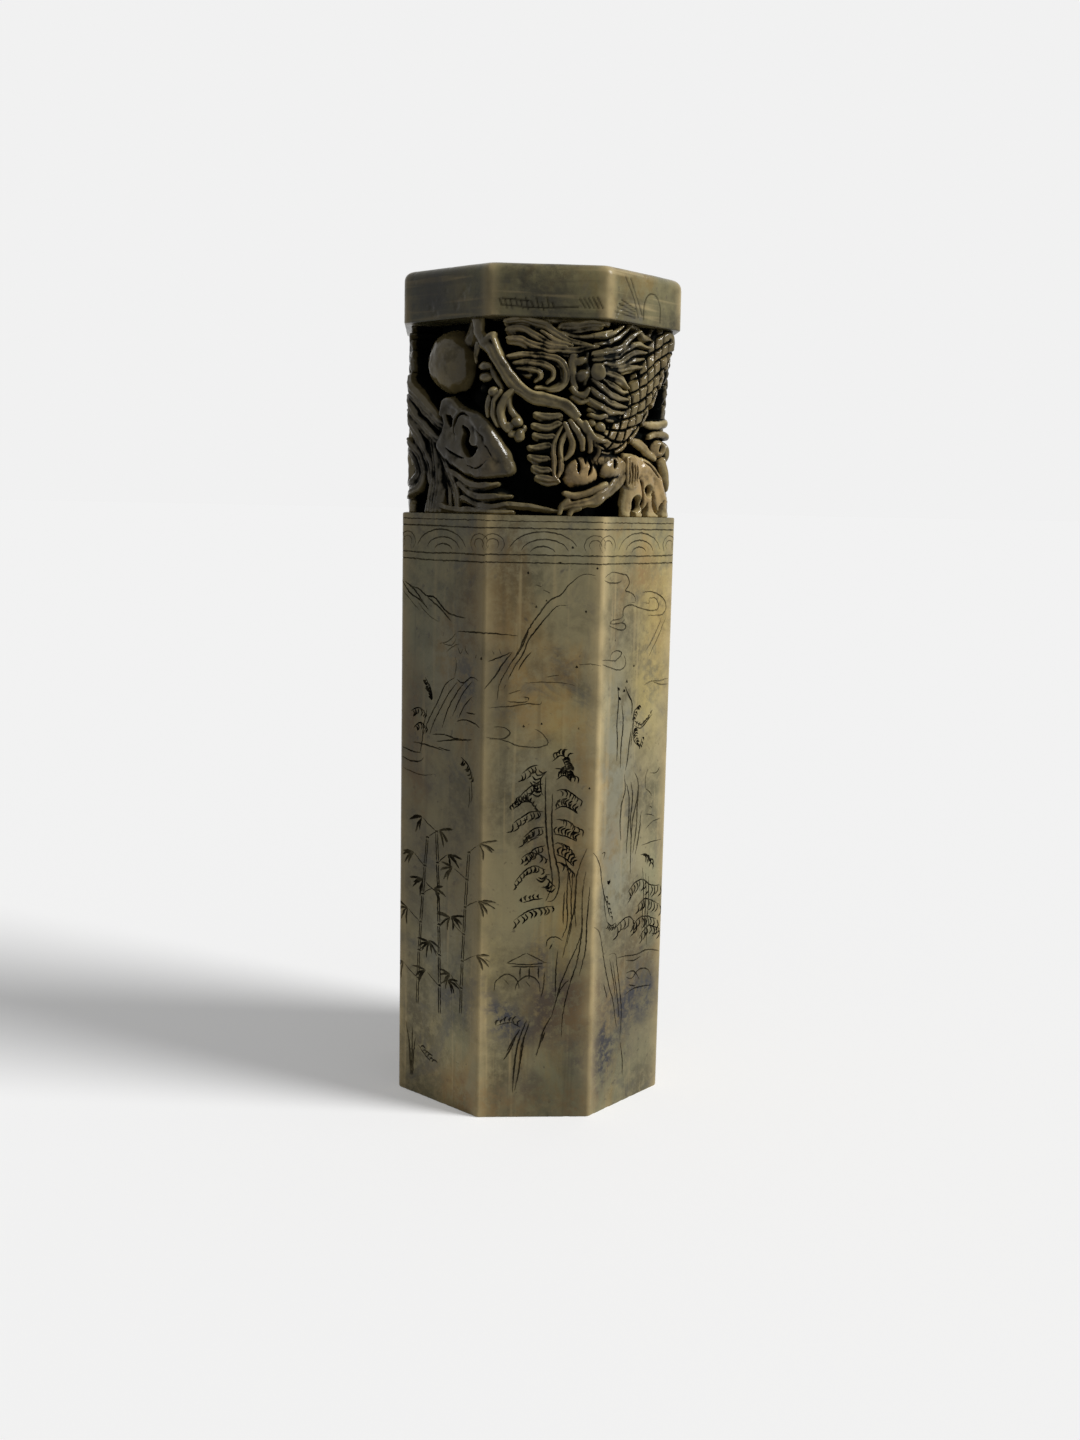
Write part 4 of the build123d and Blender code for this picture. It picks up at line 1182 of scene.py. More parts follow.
def carve(name, shapes, cuts=(), blend=0.18):
    """Work out a piece's field on a grid of places and depths, and keep it under the piece's name."""
    step = fine_voxel if name in fine_pieces else voxel
    low = np.min([shape["low"] for shape in shapes], axis=0) - 3 * step
    high = np.max([shape["high"] for shape in shapes], axis=0) + 3 * step
    low[1] = max(low[1], carved_low - 3 * step)
    high[1] = min(high[1], carved_high + 3 * step)
    low = np.floor(low / step) * step
    count = np.ceil((high - low) / step).astype(int) + 1
    us = low[0] + step * np.arange(count[0])
    zs = low[1] + step * np.arange(count[1])
    ds = step * np.arange(int((ground_depth + root) / step) + 4)
    u, z = np.meshgrid(us, zs, indexing="ij")
    wobble_u = u + hand_wobble * fractal(u, z, 2.6, 71, 2)
    wobble_z = z + hand_wobble * fractal(u, z, 2.6, 81, 2)
    worn = hand_wear * fractal(u, z, 1.6, 91, 2)
    field = np.full((*u.shape, len(ds)), field_reach, dtype=np.float32)

    def window(shape):
        a = np.clip(np.floor((shape["low"] - low) / step).astype(int) - 1, 0, count - 1)
        b = np.clip(np.ceil((shape["high"] - low) / step).astype(int) + 2, 0, count)
        return slice(a[0], b[0]), slice(a[1], b[1])

    for shape in shapes:
        area = window(shape)
        edge, lid, bulge = shape["maps"](wobble_u[area], wobble_z[area])
        edge, lid, bulge = edge[..., None], (lid + worn[area])[..., None], bulge[..., None]
        depth = ds[None, None, :] - lid
        side = edge - shape["flare"] * np.clip(depth - bulge, 0, None)
        round_over = np.hypot(np.maximum(side + bulge, 0), np.maximum(bulge - depth, 0)) - bulge
        solid = np.where(depth < bulge, np.maximum(round_over, -depth), side)
        if shape["floor"] is not None:
            solid = np.maximum(solid, ds[None, None, :] - shape["floor"])
        solid = np.clip(solid, -field_reach, field_reach).astype(np.float32)
        field[area] = smooth_min(field[area], solid, blend)
    for shape in cuts:
        area = window(shape)
        gap = shape["cut"](wobble_u[area], wobble_z[area], ds[None, None, :])
        gap = np.clip(gap, -field_reach, field_reach).astype(np.float32)
        field[area] = -smooth_min(-field[area], gap, cut_blend)
    trim = np.maximum(carved_low - z, z - carved_high)[..., None]
    field = np.maximum(field, np.maximum(trim, ds[None, None, :] - (ground_depth + root)))
    field = np.maximum(field, crest * 0.6 - ds[None, None, :]).astype(np.float32)
    carved[name] = (low, field, step)


# The lid map: how deep the first stone lies at each place, over the whole band
lid_step = 0.3
lid_us = seam + lid_step * np.arange(int(round(girth / lid_step)))
lid_zs = carved_low + lid_step * np.arange(int(round(band_height / lid_step)) + 1)


def blur(values, reach):
    """Values spread out by a bell curve, joining up round the block."""
    size = int(reach * 3 / lid_step)
    shifts = np.arange(-size, size + 1)
    bell = np.exp(-0.5 * (shifts * lid_step / reach) ** 2)
    bell /= bell.sum()
    total = sum(weight * np.roll(values, shift, axis=0) for weight, shift in zip(bell, shifts))
    padded = np.pad(total, ((0, 0), (size, size)), mode="edge")
    return sum(weight * padded[:, k:k + values.shape[1]] for k, weight in enumerate(bell))


def lid_map():
    """The depth of the first stone at each place, from every carved piece."""
    lids = np.full((len(lid_us), len(lid_zs)), ground_depth)
    for low, field, step in carved.values():
        solid = field < 0
        first = np.where(solid.any(axis=2), solid.argmax(axis=2) * step, ground_depth)
        us = low[0] + step * np.arange(first.shape[0])
        zs = low[1] + step * np.arange(first.shape[1])
        i = np.round((us - seam) / lid_step).astype(int) % len(lid_us)
        j = np.round((zs - carved_low) / lid_step).astype(int)
        keep = (j >= 0) & (j < len(lid_zs))
        grid_i, grid_j = np.meshgrid(i, j[keep], indexing="ij")
        np.minimum.at(lids, (grid_i, grid_j), first[:, keep])
    return lids


def look_up(values, u, z):
    """A map's value at each place, between its steps."""
    x = ((u - seam) / lid_step) % len(lid_us)
    y = np.clip((z - carved_low) / lid_step, 0, len(lid_zs) - 1.001)
    i, j = np.floor(x).astype(int), np.floor(y).astype(int)
    a, b = x - i, y - j
    near, far = i % len(lid_us), (i + 1) % len(lid_us)
    return ((values[near, j] * (1 - a) + values[far, j] * a) * (1 - b)
            + (values[near, j + 1] * (1 - a) + values[far, j + 1] * a) * b)


# How far round a point the stone is averaged for each measure of how low the point lies
sunk_reaches = {"cavity": 0.45, "hollow": 1.1, "shade": 3.0}
pearl_sunk = 0.3
ground_columns = 400
ground_levels = 84
ground_cover = 0.5
ground_roughness = 0.45
# Tone of each carved piece: partly its own colour, partly painted light, darker on the shaded left-hand
# pieces and lighter where a piece should catch more light
carved_tones_and_light = {"pearl": 1.2, "leaf_cloud": 0.45, "haunch": 1.3, "front_foot": 1.1, "pierced_rock": 1.35,
                "dragon_neck": 1.05, "horn": 1.15, "sweeping_wave": 0.55, "front_claws": 0.85,
                "left_cloud": 0.42}
warm_places = [(6.5, 117, 5, 5, 1.1), (25, 115, 6, 6, 1.1), (17, 122, 6, 6, 0.5), (-12, 118, 5, 3, 0.4),
               (26, 132, 5, 8, 0.4), (-2, 139, 5, 3, 0.3), (60, 125, 10, 10, 0.5), (100, 130, 9, 9, 0.5)]


def build_carving(material, ground_material):
    """Mesh every carved piece, and mark how far each point lies below the stone round it."""
    lids = lid_map()
    around = {measure: blur(lids, reach) for measure, reach in sunk_reaches.items()}
    for name, (low, field, step) in carved.items():
        grid = openvdb.FloatGrid(background=1.0)
        grid.copyFromArray(np.ascontiguousarray(np.clip(field / step, -3, 3)))
        places, quads = grid.convertToQuads(isovalue=0.0)
        u = low[0] + step * places[:, 0]
        z = np.clip(low[1] + step * places[:, 1], carved_low, carved_high)
        depth = step * places[:, 2]
        points, _ = on_block(u, z, depth, 0, carving_bend)
        obj = make_object(name + "_carving", points, quads[:, ::-1].tolist(), name, material)
        paint(obj, "tone", np.full(len(depth), carved_tones_and_light.get(name, 1.0)))
        paint(obj, "brown_stain", spots(u, z, warm_places))
        paint(obj, "sunk", depth * (pearl_sunk if name == "pearl" else 1.0))
        for measure, level in around.items():
            paint(obj, measure, depth - look_up(level, u, z))
    build_ground(ground_material)


def build_ground(material):
    """The rough bottom of the band, between and below the carving."""
    us = seam + girth / ground_columns * np.arange(ground_columns)
    zs = np.linspace(carved_low, carved_high, ground_levels)
    u, z = np.meshgrid(us, zs, indexing="ij")
    depth = ground_depth - ground_cover + ground_roughness * fractal(u, z, 3.5, 101, 3)
    points, _ = on_block(u.ravel(), z.ravel(), depth.ravel(), 0, carving_bend)
    faces = []
    for i in range(ground_columns):
        for j in range(ground_levels - 1):
            a, b = i * ground_levels + j, (i + 1) % ground_columns * ground_levels + j
            faces.append((a, b, b + 1, a + 1))
    faces.append(tuple(i * ground_levels for i in reversed(range(ground_columns))))
    faces.append(tuple(i * ground_levels + ground_levels - 1 for i in range(ground_columns)))
    obj = make_object("carved_ground", points, faces, "band_core", material)
    paint(obj, "sunk", depth.ravel())


# The skin of the dragon's body
belly_edge = 0.52


def scales(pitch, rise, belly=False):
    """The skin of a dragon's body: rows of pointed scales, and broad plates along its belly."""
    def skin(along, aside, wide):
        a = along / pitch + aside / (pitch * 0.5)
        b = along / pitch - aside / (pitch * 0.5)
        seam_share = 2 * np.minimum(np.abs(a - np.round(a)), np.abs(b - np.round(b)))
        lean = np.maximum(a - np.floor(a), b - np.floor(b))
        lid = rise * (1 - np.clip(seam_share * 2.4, 0, 1)) ** 1.5 + rise * 0.35 * (1 - lean)
        if belly:
            past = -aside / wide - belly_edge
            bar = (along / pitch) % 1
            on_belly = np.clip(past / 0.06, 0, 1)
            lid = lid * (1 - on_belly) + on_belly * rise * bar ** 4
            lid = lid + rise * np.exp(-(past / 0.07) ** 2)
        return lid
    return skin


def ribs(count, rise):
    """Skin of ridges that run along a strand."""
    def skin(along, aside, wide):
        return rise * (0.5 - 0.5 * np.cos(math.tau * (aside / wide * count / 2 + 0.5)))
    return skin


# What is carved on the seen side, in millimetres: u to the right of the front's middle, and height
def carve_pearl():
    carve("pearl", [ball(-22.6, 136.5, 11.8, 0.65, 11.6, undercut=0.6, bulge=0.8),
                    strand([(-18.8, 139.4), (-17.2, 141.4), (-16.2, 143.4)], (3.4, 3.0, 2.6), 3.2)])


def carve_horn():
    beam = [(-12.6, 139.4), (-10.6, 138.2), (-8.6, 135.6), (-6.8, 133.0), (-4.8, 131.2), (-2.2, 130.1),
            (0.6, 129.5), (2.9, 129.2), (4.3, 128.2), (5.4, 126.9)]
    rim = [(-10.0, 139.9), (-8.5, 137.3), (-6.9, 134.9), (-5.2, 132.8), (-3.2, 131.4), (-1.0, 130.6),
           (1.2, 130.2), (3.1, 129.9), (4.6, 128.8), (5.8, 127.4)]
    carve("horn", [
        strand(beam, (2.9, 2.7, 2.3, 2.2, 2.2, 2.1, 2.0, 1.7, 1.2), (1.0, 0.85, 0.8, 0.8, 0.85, 0.9),
               flare=-0.1, floor=5.4),
        strand(rim, (1.0, 0.9, 0.8, 0.8, 0.8, 0.6), (0.75, 0.6, 0.55, 0.55, 0.6), floor=4.0),
        strand([(-12.2, 139.4), (-13.7, 141.0), (-14.3, 143.6)], (2.6, 2.6, 3.4), 1.1),
        strand([(-12.4, 139.3), (-11.0, 140.0), (-9.9, 140.5)], (2.2, 1.6, 0.9), 0.9),
        strand([(-14.2, 139.6), (-14.9, 137.6), (-14.6, 136.2)], (1.8, 1.6, 0.8), 2.2),
    ])


def carve_front_claws():
    carve("front_claws", [
        strand([(-6.3, 131.2), (-7.6, 129.6), (-8.3, 127.6), (-7.9, 125.8), (-7.0, 124.6)],
               (1.0, 1.4, 1.7, 1.4, 0.9), 0.9),
        strand([(-8.4, 131.0), (-9.6, 129.2), (-9.8, 127.0), (-9.0, 125.4)], (0.9, 1.3, 1.4, 0.8), 1.2),
        strand([(-10.8, 130.0), (-11.4, 128.4), (-11.2, 126.8)], (1.6, 1.4, 0.8), 1.7),
        strand([(-6.9, 130.6), (-6.8, 128.6), (-6.0, 127.0), (-5.0, 126.2)], (0.8, 1.0, 1.1, 0.9), 1.5),
        ball(-5.3, 125.8, 2.2, 0.7, 1.7), ball(-6.8, 125.2, 1.5, 0.9), ball(-5.0, 123.6, 2.2, 1.0, 2.6),
        ball(-6.3, 123.9, 1.4, 1.2), ball(-4.0, 124.8, 1.3, 1.6), ball(-9.9, 131.1, 2.0, 0.8, 1.8),
        ball(-12.2, 135.4, 3.4, 1.5, 1.5), ball(-12.0, 133.5, 3.2, 1.3, 1.7),
        ball(-12.6, 131.6, 2.4, 2.2, 1.8),
        strand([(-10.6, 134.6), (-9.2, 132.8), (-8.4, 131.6)], (1.3, 1.1, 0.8), 2.0),
    ])


def carve_head():
    carve("dragon_head", [
        strand([(4.8, 137.3), (4.6, 135.4), (4.8, 133.6), (5.3, 132.1)], (1.7, 1.8, 1.7, 1.2), 1.1),
        strand([(7.1, 137.4), (7.0, 136.0), (7.4, 134.4), (7.1, 132.6)], (1.4, 1.2, 1.3, 1.0), 1.2),
        ball(6.4, 134.0, 2.7, 0.7), ball(5.9, 136.5, 2.4, 0.8, 1.5),
        strand([(4.6, 132.0), (5.5, 131.0), (6.7, 130.9), (7.6, 131.7)], (0.8, 1.2, 1.2, 0.7), 0.7),
        strand([(4.8, 130.3), (6.2, 129.7), (7.6, 130.1)], (0.9, 1.1, 0.7), 1.2),
        strand([(5.4, 137.0), (5.6, 134.0), (5.8, 131.0)], 3.6, 2.4),
        ball(10.1, 125.4, 2.3, 0.8, 1.7), ball(8.4, 126.0, 1.6, 1.2, 1.4),
        strand([(7.0, 126.0), (8.0, 124.2), (9.3, 123.2), (11.2, 123.1)], (0.8, 1.1, 1.0, 0.6), 0.75),
        strand([(7.9, 127.4), (9.6, 127.0), (11.6, 127.3)], (0.7, 1.0, 0.7), 1.0),
        strand([(4.4, 126.4), (5.6, 124.8), (6.5, 123.0), (6.7, 121.4)], (0.9, 1.3, 1.3, 0.8), 0.9),
        strand([(5.8, 126.6), (7.1, 124.8), (8.0, 122.9), (8.2, 121.2)], (0.8, 1.1, 1.2, 0.8), 1.0),
        strand([(3.4, 126.0), (4.3, 124.2), (4.9, 122.4), (4.6, 120.9), (3.6, 119.9)],
               (0.8, 1.2, 1.3, 1.2, 0.7), 1.0),
        strand([(9.2, 122.6), (9.6, 121.2), (9.2, 119.8)], (1.2, 1.3, 0.9), 1.1),
        strand([(5.0, 125.4), (6.0, 122.6), (6.8, 120.6)], (3.4, 4.4, 4.0), 2.0),
    ])


def carve_mane():
    locks = [
        ([(8.6, 137.3), (11.5, 137.9), (14.2, 138.4), (16.0, 139.4), (18.2, 141.0), (20.8, 142.2)],
         (1.2, 1.5, 1.5, 1.3, 1.1, 0.6), 0.65),
        ([(8.4, 136.4), (11.6, 136.8), (14.6, 137.5), (17.0, 138.9), (20.0, 139.9), (24.6, 139.9)],
         (0.9, 1.1, 1.2, 1.2, 1.1, 0.6), 0.85),
        ([(10.4, 135.9), (14.0, 136.2), (16.6, 137.2), (19.0, 138.4), (22.8, 138.8)],
         (0.8, 1.2, 1.4, 1.3, 0.6), 0.75),
        ([(12.4, 135.5), (16.0, 136.1), (19.0, 137.1), (22.2, 137.6)], (0.8, 1.2, 1.2, 0.6), 0.9),
        ([(10.2, 135.1), (14.0, 135.2), (18.0, 135.7), (21.8, 136.4)], (0.9, 1.2, 1.3, 0.6), 1.0),
        ([(10.6, 134.4), (13.6, 134.1), (16.4, 133.4), (17.8, 132.5)], (1.0, 1.5, 1.3, 0.6), 0.85),
        ([(10.4, 133.2), (13.0, 132.4), (16.0, 131.6), (17.6, 131.7)], (0.9, 1.4, 1.3, 0.6), 1.0),
        ([(8.4, 133.0), (10.6, 131.5), (13.5, 130.6), (17.4, 130.4)], (1.0, 1.3, 1.3, 0.6), 0.8),
        ([(8.2, 131.5), (10.2, 130.1), (13.0, 129.4), (17.0, 129.1)], (1.0, 1.3, 1.4, 0.6), 0.75),
        ([(7.8, 130.0), (9.8, 128.7), (12.4, 127.9), (15.6, 127.9), (17.2, 128.5)],
         (1.0, 1.3, 1.4, 1.1, 0.5), 0.85),
        ([(7.9, 128.3), (10.0, 127.1), (13.0, 126.6), (15.8, 126.8)], (0.8, 1.1, 1.1, 0.6), 1.3),
        ([(8.6, 140.6), (11.0, 140.7), (13.4, 141.4), (15.6, 142.9)], (0.8, 1.1, 1.0, 0.6), 0.8),
        ([(8.8, 139.2), (11.6, 139.4), (14.4, 140.4), (17.2, 142.2), (18.8, 143.4)],
         (0.8, 1.1, 1.1, 0.8, 0.6), 1.1),
        ([(18.0, 143.0), (20.5, 142.5), (23.0, 141.4), (26.0, 141.2)], (0.8, 1.1, 1.1, 0.6), 1.3),
    ]
    backing = [strand([(9.0, 136.8), (14.0, 136.6), (21.0, 138.4)], (4.0, 5.5, 4.4), 2.4),
               strand([(9.0, 131.0), (13.0, 130.2), (17.0, 129.8)], (4.5, 6.0, 4.0), 2.4),
               strand([(9.0, 140.2), (14.0, 141.0), (19.0, 142.6)], (2.0, 3.0, 2.0), 2.6)]
    carve("mane", [lock(*hair) for hair in locks] + backing
          + [ball(9.3, 134.7, 3.4, 0.9, 3.2, undercut=0, bulge=0.5)], blend=0.08)


def carve_haunch():
    marks = [[(5.3, 120.6), (6.1, 119.0), (6.0, 117.2)], [(7.0, 121.2), (7.5, 119.9), (7.4, 119.0)],
             [(8.1, 120.3), (8.5, 118.6), (7.8, 116.8)],
             [(9.6, 119.6), (10.4, 117.8), (9.8, 116.0), (8.0, 114.8)]]
    carve("haunch", [ball(6.7, 117.5, 7.6, 0.75, 6.8, undercut=0.3, bulge=0.85),
                     ball(13.9, 118.3, 7.4, 0.85, 5.0, undercut=0, bulge=0.8),
                     strand([(8.8, 119.6), (12.0, 119.9), (15.6, 119.4)], (3.0, 3.4, 2.6), 1.3)],
          [groove(mark, 1.3, 2.4) for mark in marks] + [hole(14.0, 119.2, 1.1, 2.8, 1.4)])


def carve_front_foot():
    carve("front_foot", [
        strand([(16.6, 119.0), (16.4, 117.0), (13.8, 115.2), (11.2, 113.7), (8.2, 112.5), (5.2, 111.9),
                (3.2, 111.6)],
               (3.0, 3.6, 2.9, 2.4, 2.1, 1.9, 1.1), (1.0, 0.8, 0.8, 0.8, 0.85), skin=ribs(2, 0.25)),
        strand([(11.8, 115.6), (9.6, 114.6), (7.4, 113.8), (5.4, 113.4), (3.6, 113.9)],
               (1.0, 1.3, 1.2, 1.2, 0.7), 0.75),
        strand([(4.4, 112.6), (3.2, 111.8), (2.9, 110.6)], (1.2, 1.3, 0.8), 0.9),
        strand([(6.4, 111.4), (5.2, 110.9), (4.8, 109.8)], (1.2, 1.2, 0.8), 1.0),
    ])


def carve_belly():
    plates = [[(-1.8, 127.1), (0.4, 126.6), (2.5, 127.0)], [(-2.1, 125.2), (0.2, 124.9), (2.3, 125.6)],
              [(-2.0, 123.5), (-0.4, 123.1), (1.0, 123.4)], [(-3.0, 121.5), (-1.2, 121.3), (0.4, 121.6)],
              [(-3.0, 119.7), (-1.4, 119.3), (0.2, 119.4)], [(-2.2, 118.0), (-0.8, 117.5), (0.6, 117.5)],
              [(-1.5, 116.4), (0.4, 115.9), (2.0, 116.0)]]
    fur = [[(2.8, 125.4), (1.5, 123.4), (1.1, 121.2), (1.5, 119.0), (1.8, 117.0), (2.6, 115.8)],
           [(3.8, 124.8), (2.8, 123.0), (2.5, 121.2), (3.0, 119.6)],
           [(2.6, 119.6), (2.9, 118.2), (2.6, 116.9)]]
    carve("belly_plates", [lock(path, (1.1, 1.7, 1.4), 1.0) for path in plates]
          + [lock(path, (0.7, 1.2, 1.1, 0.6), 0.9) for path in fur]
          + [strand([(0.2, 126.8), (-0.6, 121.0), (0.6, 116.2)], (3.8, 4.6, 3.2), 2.5)], blend=0.1)


def carve_top_cloud():
    carve("top_cloud", [
        lock([(-7.6, 142.5), (-4.0, 142.7), (-1.4, 142.2), (0.6, 141.2), (2.6, 140.1), (5.0, 139.4),
              (8.2, 138.8)],
             (1.2, 1.9, 2.0, 1.7, 1.5, 1.2, 0.8), 0.8),
        lock([(-7.2, 141.2), (-4.6, 141.2), (-2.6, 140.5), (-0.8, 139.5), (1.2, 138.9), (3.2, 138.7)],
             (1.2, 1.6, 1.7, 1.5, 1.2, 0.7), 0.75),
        lock([(-1.2, 141.2), (0.4, 140.3), (1.8, 139.5), (4.2, 139.0)], (0.6, 1.0, 1.0, 0.6), 0.7),
        lock([(-7.2, 139.8), (-4.6, 139.3), (-2.0, 138.6), (0.6, 138.0), (4.0, 137.9), (7.0, 138.2),
              (9.0, 138.7)],
             (1.1, 1.6, 1.8, 1.7, 1.7, 1.6, 1.0), 0.85),
        lock([(2.6, 141.9), (5.6, 142.2), (9.6, 142.4)], (1.7, 2.3, 1.2), 0.75),
        lock([(2.0, 141.1), (4.5, 140.6), (7.0, 140.4), (9.6, 140.9), (12.4, 141.7)],
             (0.7, 0.9, 0.9, 0.9, 0.5), 0.9),
        strand([(-7.0, 140.8), (-2.0, 140.4), (4.0, 139.0), (8.0, 138.8)], (3.0, 4.2, 3.0, 1.6), 2.2),
        strand([(-8.0, 143.2), (0.0, 143.2), (12.0, 143.2)], 1.6, 2.0),
    ], blend=0.08)


def carve_scroll():
    carve("scroll_cloud", [
        lock([(-7.0, 136.9), (-4.0, 137.1), (-1.0, 137.0), (1.6, 136.4), (3.1, 135.0), (3.2, 133.3),
              (2.0, 132.0), (0.0, 131.6), (-2.0, 132.0)],
             (1.0, 1.3, 1.4, 1.6, 1.6, 1.5, 1.2, 0.9, 0.6), 0.95),
        lock([(-6.0, 135.7), (-3.0, 135.9), (-0.8, 135.7), (0.8, 134.8), (0.9, 133.6), (0.0, 132.6)],
             (0.8, 1.2, 1.4, 1.3, 1.1, 0.6), 1.0),
        lock([(-5.4, 134.7), (-3.0, 134.8), (-1.5, 134.5), (-1.3, 133.7), (-2.2, 133.1)],
             (0.8, 1.1, 1.3, 1.1, 0.6), 1.1),
        lock([(-4.8, 133.7), (-3.2, 133.8)], (0.8, 1.0), 1.4),
        strand([(-6.2, 135.2), (-2.0, 134.6), (1.6, 134.0)], (3.0, 4.6, 4.0), 2.4),
    ], blend=0.08)


def carve_leaf():
    outline = [(-23.8, 128.0), (-22.3, 130.0), (-19.8, 130.2), (-17.4, 128.7), (-14.0, 127.9),
               (-11.6, 126.4), (-9.2, 124.2), (-7.2, 121.8), (-5.9, 119.2), (-5.5, 117.4), (-6.6, 116.5),
               (-9.5, 116.3), (-13.5, 116.1), (-17.4, 117.0), (-20.8, 118.6), (-24.0, 120.8), (-24.6, 122.6),
               (-23.0, 124.2), (-22.6, 126.2)]
    carve("leaf_cloud", [
        plate(outline, 0.95, 1.3),
        strand([(-18.8, 124.4), (-18.9, 126.2), (-17.4, 127.2), (-15.2, 126.9), (-13.4, 125.4),
                (-12.6, 123.2), (-12.8, 121.6)],
               (1.2, 1.8, 2.0, 2.2, 2.4, 2.0, 1.0), 0.65),
        strand([(-22.8, 127.6), (-21.6, 129.2), (-19.8, 129.2), (-18.2, 128.0)], (1.2, 1.8, 1.7, 1.0), 0.7),
        strand([(-12.0, 124.4), (-9.6, 122.4), (-7.8, 119.8), (-7.2, 117.8)], (2.6, 3.2, 2.8, 1.6), 0.65),
    ], [
        groove([(-21.1, 127.3), (-20.3, 126.4), (-20.2, 125.2)], 1.7, 5.0),
        groove([(-16.9, 125.2), (-15.9, 123.9), (-16.3, 122.2), (-14.9, 120.9), (-13.0, 121.5)], 2.6, 6.0),
        groove([(-18.9, 122.9), (-19.2, 124.9), (-18.3, 126.7), (-16.6, 127.4), (-14.9, 126.7)], 1.0, 2.0),
        groove([(-16.6, 118.7), (-13.4, 118.1), (-10.2, 119.5)], 0.8, 1.6),
        groove([(-13.6, 125.0), (-12.2, 123.4), (-11.2, 121.6)], 0.7, 1.4),
        groove([(-22.0, 121.6), (-19.0, 120.2), (-16.0, 119.6)], 0.9, 1.8),
        groove([(-11.6, 122.0), (-10.2, 120.9), (-9.4, 119.4)], 0.8, 1.6),
    ])


def carve_sweep():
    sweeps = [
        ([(-33.6, 133.6), (-31.4, 131.6), (-28.6, 129.6), (-26.2, 127.4), (-23.8, 125.6), (-21.0, 124.6),
          (-19.2, 123.4)], (2.6, 2.6, 2.6, 2.5, 2.2, 1.8, 0.9), (0.3, 0.45, 0.8, 0.9)),
        ([(-33.6, 130.4), (-31.4, 128.6), (-28.9, 126.2), (-26.8, 124.2), (-24.4, 122.8), (-21.5, 121.8)],
         (2.4, 2.2, 2.2, 2.2, 2.2, 1.6), (0.3, 0.4, 0.7, 0.8)),
        ([(-33.6, 127.8), (-31.4, 126.0), (-29.4, 123.6), (-27.8, 121.2), (-26.4, 118.8), (-25.8, 116.0)],
         (2.0, 1.8, 1.9, 2.0, 2.2, 2.2), (0.3, 0.5, 0.9)),
        ([(-25.8, 123.0), (-24.9, 119.6), (-24.6, 116.0), (-25.2, 112.6), (-25.8, 109.0)],
         (2.2, 3.0, 3.8, 5.0, 6.6), 0.9),
        ([(-31.6, 122.6), (-29.8, 121.0), (-28.4, 118.9), (-28.2, 116.6), (-29.4, 114.8), (-31.4, 113.8),
          (-33.4, 113.2)], 1.6, (0.3, 0.8, 0.4)),
        ([(-31.4, 120.4), (-30.1, 118.9), (-29.9, 117.0), (-31.0, 115.8), (-33.0, 115.4)], 1.4,
         (0.5, 1.2, 0.4)),
        ([(-23.3, 120.4), (-21.6, 117.8), (-20.2, 115.4), (-19.2, 113.2), (-18.9, 110.6)],
         (1.4, 1.8, 1.7, 1.5, 1.2), 1.1),
        ([(-22.3, 116.6), (-21.4, 114.0), (-20.9, 111.0)], (1.0, 1.3, 1.2), 1.6),
        ([(-20.8, 117.4), (-18.0, 116.0), (-15.0, 114.8), (-12.0, 114.7), (-9.0, 115.2)],
         (1.0, 1.5, 1.7, 1.5, 0.7), 0.9),
        ([(-18.4, 114.8), (-15.6, 113.3), (-12.5, 112.7), (-9.0, 113.0), (-6.3, 113.3)],
         (1.2, 1.5, 1.6, 1.3, 0.6), 0.95),
        ([(-17.6, 112.6), (-14.0, 111.5), (-10.0, 111.2), (-6.0, 111.7), (-2.0, 111.2), (3.0, 110.9)],
         (1.1, 1.3, 1.2, 1.2, 1.0, 0.6), 1.1),
        ([(-23.0, 110.9), (-16.0, 110.4), (-6.0, 110.4)], (1.4, 1.3, 0.8), 1.0),
    ]
    backing = [
        strand([(-28.6, 126.4), (-25.4, 123.0), (-25.0, 117.0), (-25.6, 110.0)], (4.0, 5.0, 5.0, 7.0), 2.2),
        strand([(-20.0, 115.6), (-15.0, 113.4), (-8.0, 113.2)], (4.0, 4.4, 2.6), 2.4),
        strand([(-31.0, 118.0), (-28.5, 117.0), (-27.0, 113.0)], (7.0, 6.0, 5.0), 3.2),
    ]
    carve("sweeping_wave", [lock(*sweep) for sweep in sweeps] + backing, blend=0.1)


